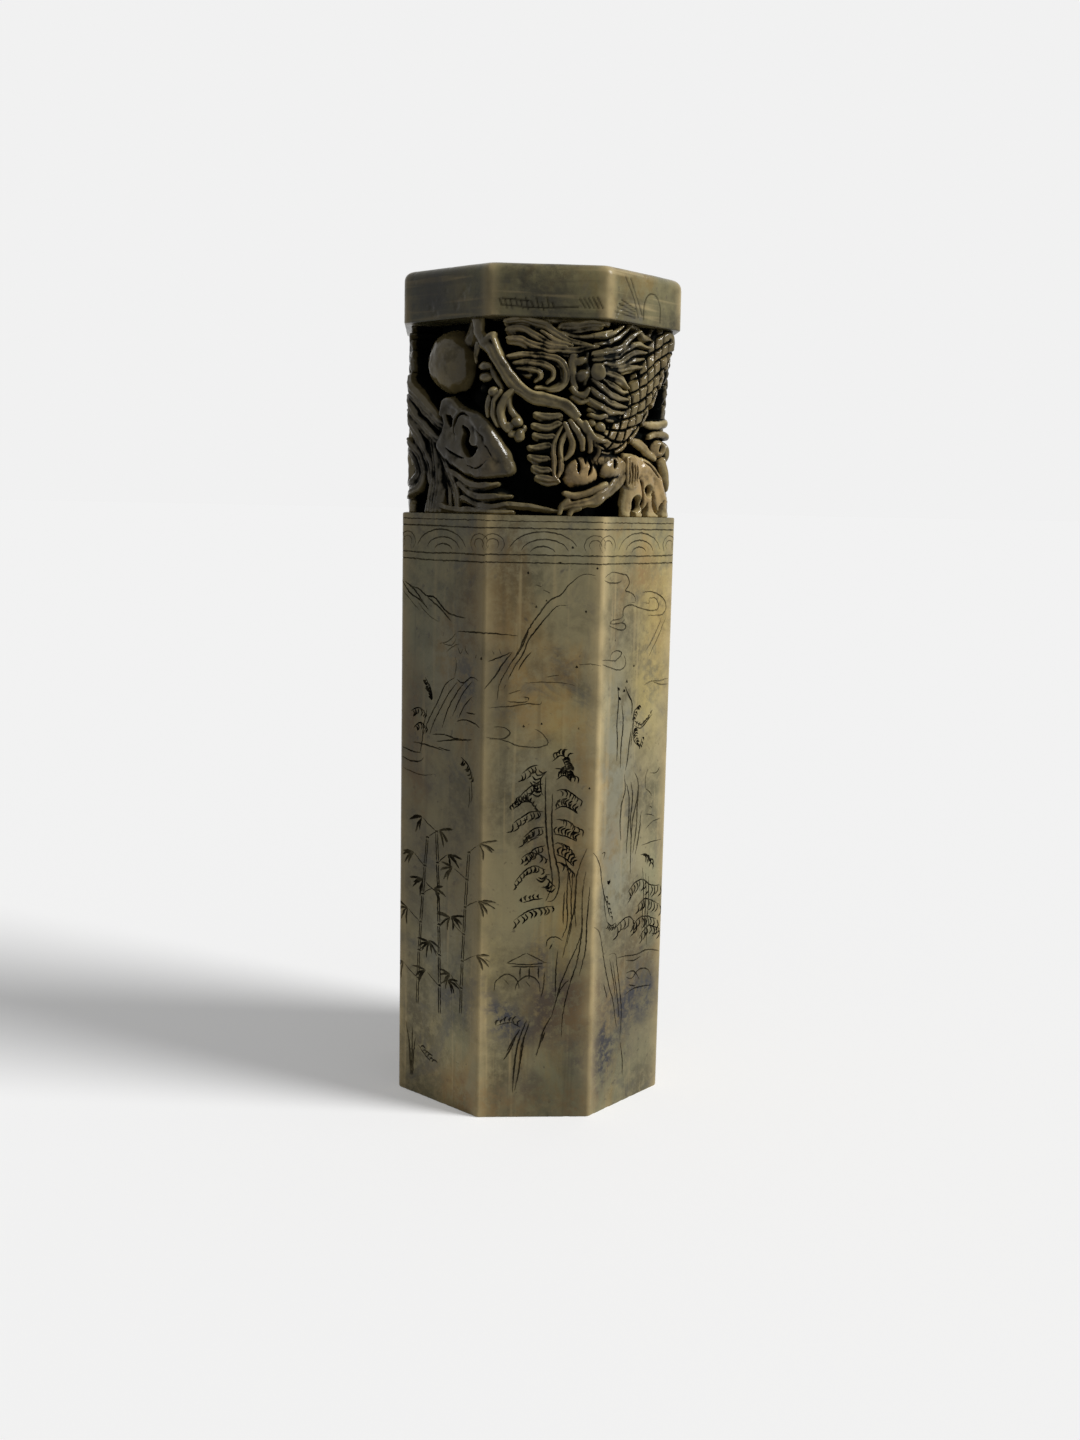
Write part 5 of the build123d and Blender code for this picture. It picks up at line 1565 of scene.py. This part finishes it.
def carve_rock():
    outline = [(17.2, 114.4), (17.0, 117.6), (17.3, 121.0), (19.6, 121.4), (22.6, 120.7), (25.5, 120.0),
               (28.0, 118.2), (29.8, 115.4), (31.2, 112.0), (32.0, 108.0), (24.0, 108.0), (17.4, 108.0),
               (16.9, 111.2)]
    ledge = [(17.4, 116.0), (17.5, 120.6), (20.0, 120.6), (21.4, 118.6), (21.0, 116.0), (18.6, 114.6)]
    streaks = [[(u, 120.4 - 0.3 * k), (u + 0.3, 118.0), (u, 115.2 + 0.2 * k)]
               for k, u in enumerate((17.9, 18.7, 19.5, 20.3))]
    carve("pierced_rock", [
        plate(outline, 0.95, 1.4),
        strand([(21.6, 118.6), (24.6, 118.6), (27.2, 116.8), (28.8, 113.8), (29.6, 110.6)],
               (1.8, 2.8, 3.0, 2.6, 2.4), 0.7),
        plate(ledge, 0.7, 0.5),
        strand([(20.2, 123.6), (22.8, 122.8), (25.2, 121.6), (27.4, 120.6)], (1.2, 1.7, 1.7, 1.0), 1.5),
        strand([(22.8, 126.6), (26.0, 126.3), (29.0, 126.7), (32.4, 127.2)], (0.9, 1.6, 1.9, 1.6), 1.6),
        strand([(25.0, 124.2), (28.0, 125.0), (31.6, 124.6)], (0.8, 1.4, 1.4), 1.3),
        ball(28.3, 122.4, 4.4, 0.8, 3.4, undercut=0.2), ball(31.6, 121.6, 3.4, 1.2, 4.4, undercut=0.2),
        strand([(29.6, 120.2), (30.8, 117.6), (32.4, 115.4)], (1.6, 2.0, 1.6), 1.1),
        strand([(22.0, 124.8), (26.0, 123.4), (31.0, 121.0)], (3.0, 5.0, 6.0), 3.0),
    ], [
        hole(24.7, 114.6, 2.3, 5.0, 2.0), hole(20.8, 112.5, 2.6, 5.0), hole(15.0, 112.7, 2.6),
        hole(28.0, 122.3, 1.0, 2.6, 1.2),
        groove([(21.5, 117.0), (22.6, 115.4), (22.7, 113.0), (22.4, 110.6)], 1.5, 2.8),
        groove([(26.2, 114.4), (26.2, 112.4), (27.6, 110.4)], 1.8, 3.6),
        groove([(19.5, 108.0), (19.8, 110.0), (19.6, 111.6)], 2.4, 5.0),
        groove([(23.6, 107.6), (23.4, 110.4), (24.0, 112.4)], 2.0, 5.0),
        groove([(28.6, 108.0), (28.2, 110.6), (28.8, 113.0)], 1.6, 4.0),
        groove([(22.0, 120.2), (25.0, 119.0), (27.6, 116.8)], 0.9, 2.2),
    ] + [groove(streak, 0.8, 2.2) for streak in streaks])


# The dragon's body, from behind the jaw up under the cap and round the back to its tail
def from_shares(places):
    """Places given as shares: round the block by faces of the front's width, and up the band."""
    return [(g * face_width, carved_low + h * band_height) for g, h in places]


def carve_body():
    """Four lengths, each with its scales, and fins along its back where they show."""
    neck = [(9.4, 122.6), (12.6, 122.9), (15.6, 124.3), (18.9, 127.1), (21.9, 130.5), (24.5, 134.4),
            (27.0, 138.4), (29.8, 141.6)]
    back = from_shares([(1.30, 0.93), (1.50, 0.93), (1.67, 0.82), (1.84, 0.64), (2.05, 0.44), (2.36, 0.31),
                        (2.68, 0.36), (2.92, 0.52)])
    loin = from_shares([(2.68, 0.36), (2.92, 0.52), (3.13, 0.70), (3.43, 0.80), (3.73, 0.70), (3.95, 0.50),
                        (4.20, 0.35), (4.50, 0.30)])
    tail = from_shares([(4.20, 0.35), (4.50, 0.30), (4.80, 0.40), (5.01, 0.58), (5.25, 0.68), (5.48, 0.62),
                        (5.66, 0.46)])
    lengths = (
        ("dragon_neck", neck, (4.4, 5.6, 6.8, 7.7, 8.3, 8.9, 9.2, 8.6),
         (1.0, 0.7, 0.6, 0.65, 0.8), flat_bulge, 4.1, 0.8, 0),
        ("dragon_back", back, (8.0, 8.4, 8.4, 8.0, 7.6, 7.4, 7.4, 7.2),
         (1.6, 0.7), flat_bulge, 4.0, 0.75, 4.0),
        ("dragon_loin", loin, (7.4, 7.2, 7.2, 7.0, 6.6, 6.0, 5.8, 5.6),
         0.7, flat_bulge, 3.8, 0.75, 3.5),
        ("dragon_tail", tail, (5.6, 5.4, 4.8, 4.2, 3.6, 2.8, 1.2),
         0.7, 0.4, 3.0, 0.6, 2.5),
    )
    for name, path, widths, top, bulge, pitch, rise, fin_reach in lengths:
        fins = spines(path, fin_reach) if fin_reach else []
        carve(name, [strand(path, widths, top, bulge=bulge, skin=scales(pitch, rise, belly=True))] + fins)


def spines(path, reach):
    """A row of small fins along one edge of the body, leaning back along it."""
    line = smooth_path(path, 3.1)
    along = np.gradient(line, axis=0)
    along /= np.linalg.norm(along, axis=1, keepdims=True)
    fins = []
    for place, aim in zip(line[1:-1], along[1:-1]):
        out = np.array([-aim[1], aim[0]])
        foot = place + out * (reach - 0.9)
        tip = place + out * (reach + 1.1) - aim * 1.3
        fins.append(strand([foot, (foot + tip) / 2 - aim * 0.2, tip], (1.9, 1.4, 0.5), 1.0))
    return fins


swirl_turns = 1.35


def swirl(u, z, size, start, way, width=1.5, top=0.85):
    """A cloud's curl: a strand that winds inward."""
    path = []
    for share in np.linspace(0, 1, 12):
        angle = start + way * share * swirl_turns * math.tau
        reach = size * (1 - 0.82 * share)
        path.append((u + reach * math.cos(angle), z + reach * 0.85 * math.sin(angle)))
    return strand(path, (width * 0.8, width, width * 0.9, width * 0.6), top)


def cloud_of(name, g, h, size, trails):
    """A cloud of three curls on a hollow ground, with trailing ends."""
    (u, z), = from_shares([(g, h)])
    shapes = [
        swirl(u, z, size, 0.4, 1),
        swirl(u - size * 1.1, z - size * 0.35, size * 0.72, 2.6, -1, top=1.0),
        swirl(u + size * 1.05, z + size * 0.2, size * 0.66, -0.6, 1, top=1.1),
        ball(u, z, size * 2.6, 3.0, size * 1.7, undercut=0),
    ]
    for trail in trails:
        path = from_shares(trail)
        for lift, width, top in ((0.0, 1.6, 0.9), (1.35, 1.1, 1.2), (-1.3, 1.0, 1.3)):
            shapes.append(strand([(a, b + lift) for a, b in path], (width, width, 0.5), top))
    carve(name, shapes, blend=0.1)


def carve_clouds():
    """The clouds of the unseen side, in shares of the band."""
    cloud_of("side_cloud", 2.14, 0.80, 3.4, [
        [(2.24, 0.86), (2.32, 0.92), (2.42, 0.96)],
        [(2.04, 0.88), (1.94, 0.93), (1.84, 0.96)],
        [(2.14, 0.70), (2.20, 0.62), (2.28, 0.56)],
    ])
    cloud_of("low_cloud", 3.20, 0.38, 3.4, [
        [(3.10, 0.30), (2.95, 0.22), (2.74, 0.19)],
        [(3.32, 0.30), (3.42, 0.32), (3.50, 0.40)],
    ])
    cloud_of("back_cloud", 4.46, 0.74, 3.6, [
        [(4.56, 0.82), (4.72, 0.90), (4.90, 0.94)],
        [(4.36, 0.84), (4.18, 0.92), (4.00, 0.93)],
        [(4.46, 0.64), (4.54, 0.56), (4.62, 0.50)],
    ])
    cloud_of("tail_cloud", 5.26, 0.36, 3.4, [
        [(5.16, 0.28), (5.04, 0.23), (4.94, 0.21)],
        [(5.38, 0.28), (5.48, 0.24), (5.58, 0.22)],
    ])
    cloud_of("left_cloud", 6.14, 0.78, 3.5, [
        [(6.20, 0.88), (6.28, 0.92), (6.38, 0.95)],
        [(6.04, 0.86), (5.94, 0.92), (5.84, 0.95)],
        [(6.24, 0.66), (6.34, 0.60), (6.42, 0.52)],
    ])


def carve_waves(name, middles):
    """Rows of nested arcs, each with a curling crest."""
    shapes = []
    for g in middles:
        (u, z), = from_shares([(g, 0.0)])
        for reach, top in ((6.2, 1.3), (4.7, 1.0), (3.2, 0.8), (1.8, 0.9)):
            shapes.append(strand(arc(u, z, reach * 0.82, reach * 0.95, 0.02, math.pi - 0.02, 9),
                                 (1.2, 1.5, 1.2), top))
        shapes.append(ball(u, z, 9.0, 3.2, 11.0, undercut=0))
        shapes.append(swirl(u + 4.9, z + 6.2, 1.7, 2.6, -1, width=1.1, top=0.9))
    carve(name, shapes, blend=0.08)


def carve_leg(name, hip, knee, ankle, toes):
    """A hind leg: a round thigh with curling hair, a scaled shin, and four claws."""
    joints = from_shares([hip, knee, ankle])
    (u, z) = joints[0]
    shapes = [ball(u, z, 8.0, 0.7, 7.4, undercut=0.3, bulge=0.85),
              strand(joints, (6.6, 4.2, 3.0), 0.8, bulge=0.42, skin=scales(1.8, 0.35))]
    for toe in toes:
        (a, b), = from_shares([toe])
        end = joints[2]
        side = np.array([-(b - end[1]), a - end[0]]) * 0.12
        middle = ((a + end[0]) / 2 + side[0], (b + end[1]) / 2 + side[1])
        shapes.append(strand([end, middle, (a, b)], (2.2, 1.8, 0.7), 0.85))
        shapes.append(ball(*middle, 1.9, 0.75))
    marks = [[(u - 1.6 + shift, z + 2.6), (u - 0.9 + shift, z + 0.8), (u - 1.3 + shift, z - 1.2)]
             for shift in (0, 1.5, 3)]
    carve(name, shapes, [groove(mark, 1.1, 2.2) for mark in marks])


def carve_far_side():
    """The tail's fin, both hind legs, a rock and the waves."""
    roots = from_shares([(5.05, 0.64), (5.25, 0.72), (5.48, 0.66), (5.60, 0.54)])
    tips = from_shares([(5.02, 0.84), (5.32, 0.90), (5.66, 0.80), (5.80, 0.56)])
    fins = []
    for (a, b), (c, d) in zip(roots, tips):
        for lean in (-0.9, 0.0, 0.9):
            path = [(a + lean * 0.7, b), ((a + c) / 2 + lean, (b + d) / 2 + 0.8), (c + lean * 0.4, d)]
            fins.append(strand(path, (1.3, 1.3, 0.5), 0.8 + 0.2 * abs(lean)))
    carve("tail_fin", fins, blend=0.08)
    carve_leg("right_hind_leg", (2.52, 0.46), (2.74, 0.62), (2.66, 0.76),
              [(2.48, 0.90), (2.62, 0.95), (2.76, 0.94), (2.88, 0.85)])
    carve_leg("left_hind_leg", (3.84, 0.50), (3.70, 0.34), (3.62, 0.20),
              [(3.44, 0.16), (3.50, 0.07), (3.64, 0.04), (3.76, 0.10)])
    outline = from_shares([(5.70, -0.04), (5.70, 0.14), (5.78, 0.24), (5.90, 0.34), (6.04, 0.40),
                           (6.18, 0.37), (6.28, 0.26), (6.36, 0.12), (6.40, -0.04), (6.05, -0.06)])
    holes = from_shares([(5.88, 0.14), (6.06, 0.27), (6.20, 0.12)])
    ridge = from_shares([(5.82, 0.47), (6.04, 0.52), (6.24, 0.48), (6.40, 0.34)])
    arch = from_shares([(5.76, 0.06), (5.84, 0.24), (6.02, 0.35), (6.18, 0.31), (6.28, 0.16)])
    carve("left_rock", [
        plate(outline, 1.0, 1.4),
        strand(ridge, (1.2, 2.2, 2.0, 1.6), 0.9),
        strand(arch, (1.4, 2.2, 2.6, 2.2, 1.4), 0.7),
        strand([(a, b - 2.4) for a, b in ridge], (1.0, 1.4, 1.2, 0.8), 1.5),
    ], [hole(a, b, 2.4, 5.0, 2.8) for a, b in holes])
    carve_waves("side_waves", (1.78, 2.26, 2.74, 3.20))
    carve_waves("back_waves", (4.06, 4.54, 5.02, 5.48))


# Materials
def new_material(name):
    """A material with its nodes and its shader."""
    material = bpy.data.materials.new(name)
    material.use_nodes = True
    tree = material.node_tree
    shader = tree.nodes["Principled BSDF"]
    shader.inputs["IOR"].default_value = 1.56
    return material, tree, shader


def set_inputs(tree, node, values):
    """Give a node's sockets their values, or link them to what feeds them."""
    for key, value in values.items():
        if hasattr(value, "links"):
            tree.links.new(value, node.inputs[key])
        else:
            node.inputs[key].default_value = value


def add_node(tree, kind, values=None, **settings):
    """A node with its settings and the values of its sockets."""
    node = tree.nodes.new(kind)
    for key, value in settings.items():
        setattr(node, key, value)
    set_inputs(tree, node, values or {})
    return node


def attribute(tree, name):
    """A number painted on the mesh."""
    return add_node(tree, "ShaderNodeAttribute", attribute_name=name).outputs["Fac"]


def noise(tree, scale, detail=4.0, roughness=0.55, stretch=None, distortion=0.0):
    """Noise in object space; stretch draws it out along an axis."""
    place = add_node(tree, "ShaderNodeTexCoord").outputs["Object"]
    if stretch:
        place = add_node(tree, "ShaderNodeVectorMath", {0: place, 1: stretch},
                         operation="MULTIPLY").outputs[0]
    values = {"Vector": place, "Scale": scale, "Detail": detail, "Roughness": roughness,
              "Distortion": distortion}
    return add_node(tree, "ShaderNodeTexNoise", values).outputs["Fac"]


def span(tree, value, low, high, out_low=0.0, out_high=1.0):
    """The value's run from low to high, drawn out to another run and clamped to it."""
    values = {"Value": value, "From Min": low, "From Max": high, "To Min": out_low, "To Max": out_high}
    return add_node(tree, "ShaderNodeMapRange", values, interpolation_type="SMOOTHSTEP").outputs["Result"]


def times(tree, a, b, operation="MULTIPLY"):
    """Two values multiplied, or joined by another operation."""
    return add_node(tree, "ShaderNodeMath", {0: a, 1: b}, operation=operation).outputs[0]


def blend_colour(tree, share, base, over, mode="MIX"):
    """The base colour with another laid over it by a share."""
    node = add_node(tree, "ShaderNodeMix", data_type="RGBA", blend_type=mode)
    for socket, value in ((node.inputs[0], share), (node.inputs[6], base), (node.inputs[7], over)):
        if hasattr(value, "links"):
            tree.links.new(value, socket)
        elif isinstance(value, tuple):
            socket.default_value = (*value, 1.0)
        else:
            socket.default_value = value
    return node.outputs[2]


# Colours
stone_colour = (0.188, 0.154, 0.076)
stone_pale = (0.298, 0.252, 0.135)
stone_dark = (0.082, 0.068, 0.035)
cap_colour = (0.082, 0.073, 0.034)
cap_pale = (0.168, 0.146, 0.068)
cap_dark = (0.024, 0.021, 0.010)
ink_colour = (0.006, 0.005, 0.004)
blue_colour = (0.042, 0.042, 0.048)
brown_colour = (0.205, 0.130, 0.052)
yellow_colour = (0.400, 0.315, 0.110)
grey_colour = (0.260, 0.262, 0.200)
smoke_colour = (0.080, 0.076, 0.062)
ochre_colour = (0.400, 0.310, 0.155)
amber_colour = (0.300, 0.205, 0.088)
cool_colour = (0.82, 1.00, 1.05)
warm_colour = (1.25, 0.95, 0.60)
ridge_highlight_colour = (0.320, 0.255, 0.120)
crest_colour = (0.185, 0.145, 0.062)
carving_colour = (0.085, 0.066, 0.028)
grime_and_shade_colour = (0.0022, 0.0026, 0.0022)
ground_grime_and_shade_colour = (0.010, 0.010, 0.009)
scratch_colour = (0.075, 0.058, 0.034)


def toned_and_lit(tree, colour):
    """The colour made lighter or darker by the piece's tone, which carries painted light as well as the
    stone's own tone.
    """
    values = {0: colour, "Scale": attribute(tree, "tone")}
    return add_node(tree, "ShaderNodeVectorMath", values, operation="SCALE").outputs[0]


def between(tree, share, low, high):
    """A number between two, by a share."""
    return add_node(tree, "ShaderNodeMix", {0: share, 2: low, 3: high}, data_type="FLOAT").outputs[0]


def layer(tree, colour, over, pattern, low, high, most=1.0, mode="MIX"):
    """The colour with another laid over it, none where the pattern is low and most where it is high."""
    return blend_colour(tree, span(tree, pattern, low, high, 0, most), colour, over, mode)


def relief(tree, height, strength, distance):
    """Small unevenness of the surface."""
    return add_node(tree, "ShaderNodeBump", {"Strength": strength, "Distance": distance,
                                             "Height": height}).outputs[0]


def stained(tree, colour):
    """The colour under its stains: the first two lie coarse in the stone, the others in fine grains."""
    coarse = span(tree, noise(tree, 260, 5, 0.75), 0.36, 0.58, 0.15, 1.0)
    grainy = times(tree, coarse, span(tree, noise(tree, 750, 3, 0.7), 0.38, 0.56, 0.35, 1.0))
    stains = (("yellow_stain", coarse, 0.8, yellow_colour), ("grey_stain", coarse, 0.7, grey_colour),
              ("blue_stain", grainy, 1.5, blue_colour), ("brown_stain", grainy, 1.1, brown_colour))
    for stain, grain, strength, tint in stains:
        share = times(tree, times(tree, attribute(tree, stain), grain), strength)
        colour = blend_colour(tree, share, colour, tint)
    return colour


def polished_stone(name, middle, dark, pale, grain):
    """Polished soapstone: cloudy, warm and cool by turns, stained, flecked, scratched and engraved."""
    material, tree, shader = new_material(name)
    colour = layer(tree, dark, pale, noise(tree, 48, 6, 0.62, distortion=0.7), 0.36, 0.66)
    colour = blend_colour(tree, 0.25, colour, middle)
    cool = noise(tree, 30, 4, 0.6, stretch=(1, 1, 0.7), distortion=0.5)
    colour = layer(tree, colour, cool_colour, cool, 0.46, 0.62, 0.5, "MULTIPLY")
    warm = noise(tree, 38, 5, 0.65, stretch=(1.3, 1.3, 0.6), distortion=0.9)
    colour = layer(tree, colour, warm_colour, warm, 0.50, 0.66, 0.8, "MULTIPLY")
    colour = layer(tree, colour, pale, noise(tree, 520, 5, 0.75), 0.42, 0.66, 0.5)
    colour = layer(tree, colour, scratch_colour, noise(tree, 800, 2, 0.5), 0.64, 0.73, 0.6)
    colour = layer(tree, colour, dark, noise(tree, 420, 3, 0.6, stretch=grain), 0.56, 0.72, 0.4)
    colour = layer(tree, colour, ochre_colour, noise(tree, 600, 2, 0.6, stretch=grain), 0.58, 0.72, 0.5)
    colour = layer(tree, colour, smoke_colour, noise(tree, 85, 6, 0.7, distortion=0.9), 0.53, 0.70, 0.7)
    colour = stained(tree, colour)
    # Lighter ochre near the arrises: partly worn edges, partly a painted highlight where the rounded edge
    # catches the lamp
    worn = times(tree, attribute(tree, "arris"), span(tree, noise(tree, 160, 3), 0.3, 0.6, 0.3, 0.85))
    colour = toned_and_lit(tree, blend_colour(tree, worn, colour, ochre_colour))
    inked = times(tree, attribute(tree, "ink"), span(tree, noise(tree, 500, 3, 0.6), 0.3, 0.55, 0.7, 1.0))
    gloss = span(tree, noise(tree, 130, 4, 0.6), 0.3, 0.7, 0.20, 0.36)
    brushed = times(tree, noise(tree, 500, 3, 0.6, stretch=grain), 0.25)
    height = times(tree, noise(tree, 90, 3, 0.5), brushed, "ADD")
    set_inputs(tree, shader, {
        "Base Color": blend_colour(tree, inked, colour, ink_colour),
        "Roughness": between(tree, inked, gloss, 0.85),
        "Specular IOR Level": between(tree, inked, 0.2, 0.0),
        "Normal": relief(tree, height, 0.3, 0.0002),
    })
    return material


def grime_and_shade_share(tree):
    """How black the patina and painted shade lie: none on the crests, thick in the hollows and low down."""
    cavity = span(tree, attribute(tree, "cavity"), -0.25, 0.45)
    hollow = span(tree, attribute(tree, "hollow"), -0.5, 0.9)
    shade = span(tree, attribute(tree, "shade"), 0.3, 2.6)
    below = span(tree, attribute(tree, "sunk"), 0.65, 1.45, 0.3, 1.0)
    sunk = span(tree, attribute(tree, "sunk"), 1.7, 3.3)
    patchy = span(tree, noise(tree, 300, 4, 0.65), 0.35, 0.65, -0.2, 0.2)
    total = times(tree, times(tree, hollow, 0.75), times(tree, shade, 0.3), "ADD")
    total = times(tree, total, times(tree, cavity, 0.5), "ADD")
    total = times(tree, times(tree, total, below), sunk, "MAXIMUM")
    return span(tree, times(tree, total, patchy, "ADD"), 0.04, 0.5)


def carved_stone(name):
    """The carving: brown crests with a gloss and a painted highlight along the ridges, and black patina with
    painted shade below them.
    """
    material, tree, shader = new_material(name)
    colour = layer(tree, carving_colour, crest_colour, noise(tree, 90, 5, 0.6), 0.38, 0.66)
    warm = times(tree, attribute(tree, "brown_stain"),
                 span(tree, noise(tree, 160, 4, 0.6), 0.3, 0.6, 0.4, 1.0))
    colour = blend_colour(tree, warm, colour, amber_colour)
    colour = layer(tree, colour, scratch_colour, noise(tree, 900, 3, 0.6), 0.55, 0.72, 0.5)
    # Painted highlight: the ridges and crests made lighter, as where they catch the lamp
    ridge = span(tree, attribute(tree, "cavity"), -0.25, -0.85)
    colour = toned_and_lit(tree, blend_colour(tree, times(tree, ridge, 0.6), colour, ridge_highlight_colour))
    grime_and_shade = grime_and_shade_share(tree)
    gloss = span(tree, noise(tree, 350, 3), 0.3, 0.7, 0.10, 0.24)
    set_inputs(tree, shader, {
        "Base Color": blend_colour(tree, grime_and_shade, colour, grime_and_shade_colour),
        "Roughness": between(tree, grime_and_shade, gloss, 0.5),
        "Specular IOR Level": between(tree, grime_and_shade, 0.13, 0.01),
        "Coat Weight": between(tree, grime_and_shade, 0.22, 0.0),
        "Coat Roughness": 0.03,
        "Normal": relief(tree, noise(tree, 700, 4, 0.6), 0.5, 0.00025),
    })
    return material


def carved_ground(name):
    """The band's dark, rough bottom, near-black as patina and painted shade."""
    material, tree, shader = new_material(name)
    set_inputs(tree, shader, {
        "Base Color": layer(tree, grime_and_shade_colour, ground_grime_and_shade_colour, noise(tree, 200, 4), 0.5, 0.75),
        "Roughness": 0.6,
        "Specular IOR Level": 0.01,
        "Normal": relief(tree, noise(tree, 600, 4), 0.8, 0.0004),
    })
    return material


# The stage
floor_half = 30
floor_colour = (0.75, 0.75, 0.75)
floor_bounce = (0.30, 0.30, 0.29)
floor_glow = 0.237


def seen_background(tree):
    """1 on rays from the camera, also by a reflection or through glass, and 0 on rays that carry light."""
    path = add_node(tree, "ShaderNodeLightPath").outputs
    seen = times(tree, path["Is Camera Ray"], path["Is Glossy Ray"], "MAXIMUM")
    return times(tree, seen, path["Is Transmission Ray"], "MAXIMUM")


def build_stage():
    """A pale floor that reaches to the horizon. It keeps the stamp's shadow and throws little light back."""
    mesh = bpy.data.meshes.new("floor")
    corners = [(-floor_half, -floor_half, 0), (floor_half, -floor_half, 0), (floor_half, floor_half, 0),
               (-floor_half, floor_half, 0)]
    mesh.from_pydata(corners, [], [(0, 1, 2, 3)])
    obj = bpy.data.objects.new("floor", mesh)
    bpy.context.scene.collection.objects.link(obj)
    material, tree, shader = new_material("floor_paper")
    seen = seen_background(tree)
    set_inputs(tree, shader, {
        "Base Color": blend_colour(tree, seen, floor_bounce, floor_colour),
        "Emission Color": (1.0, 1.0, 1.0, 1.0),
        "Emission Strength": times(tree, seen, floor_glow),
        "Roughness": 1.0,
        "Specular IOR Level": 0.0,
    })
    mesh.materials.append(material)


# Camera and light
camera_place = (1.545, -279.2, 111.8)
camera_pitch = 0.147
camera_roll = 0.0207
camera_lens = 36.27
stamp_yaw = 0.066


def build_camera():
    forward = Vector((0, math.cos(camera_pitch), -math.sin(camera_pitch)))
    right = Vector((1, 0, 0))
    up = right.cross(forward)
    x_axis = right * math.cos(camera_roll) + up * math.sin(camera_roll)
    y_axis = up * math.cos(camera_roll) - right * math.sin(camera_roll)
    pose = Matrix((x_axis, y_axis, -forward)).transposed().to_4x4()
    pose.translation = Vector(camera_place) * MM
    camera = bpy.data.objects.new("camera", bpy.data.cameras.new("camera"))
    camera.data.lens = camera_lens
    camera.data.sensor_width = 36
    camera.data.clip_start = 0.01
    camera.matrix_world = Matrix.Rotation(-stamp_yaw, 4, "Z") @ pose
    bpy.context.scene.collection.objects.link(camera)
    bpy.context.scene.camera = camera


key_strength = 3.4
key_spread = 22
key_aim = (0.93, -0.26, 0.72)
fill_strength = 0.22
background_level = 0.88


def build_light():
    """A broad lamp from the right, a little to the front, and an even fill under a pale background."""
    lamp = bpy.data.lights.new("key", "SUN")
    lamp.energy = key_strength
    lamp.angle = math.radians(key_spread)
    sun = bpy.data.objects.new("key", lamp)
    aim = Vector(key_aim).normalized()
    sun.matrix_world = Matrix.Rotation(-stamp_yaw, 4, "Z") @ aim.to_track_quat("Z", "Y").to_matrix().to_4x4()
    bpy.context.scene.collection.objects.link(sun)
    world = bpy.data.worlds.new("room")
    world.use_nodes = True
    tree = world.node_tree
    seen = seen_background(tree)
    level = add_node(tree, "ShaderNodeMix", {0: seen, 2: fill_strength, 3: background_level},
                     data_type="FLOAT")
    tree.links.new(level.outputs[0], tree.nodes["Background"].inputs["Strength"])
    tree.nodes["Background"].inputs["Color"].default_value = (1.0, 1.0, 1.0, 1)
    bpy.context.scene.world = world
    bpy.context.scene.view_settings.view_transform = "Standard"


# Everything in its place
for draw in (arch_border, left_face, left_foot, front_ridge, front_tree, front_cliff, right_sky, right_rocks,
             right_willow, right_cliff, far_landscape, specks):
    draw()
build_column(polished_stone("column_stone", stone_colour, stone_dark, stone_pale, (1, 1, 0.04)))
build_cap(polished_stone("cap_stone", cap_colour, cap_dark, cap_pale, (0.06, 0.06, 1)))
for carve_piece in (carve_pearl, carve_horn, carve_front_claws, carve_head, carve_mane, carve_haunch,
                    carve_front_foot, carve_belly, carve_top_cloud, carve_scroll, carve_leaf, carve_sweep,
                    carve_rock, carve_body, carve_clouds, carve_far_side):
    carve_piece()
build_carving(carved_stone("carved_stone"), carved_ground("carved_ground"))
build_stage()
build_camera()
build_light()
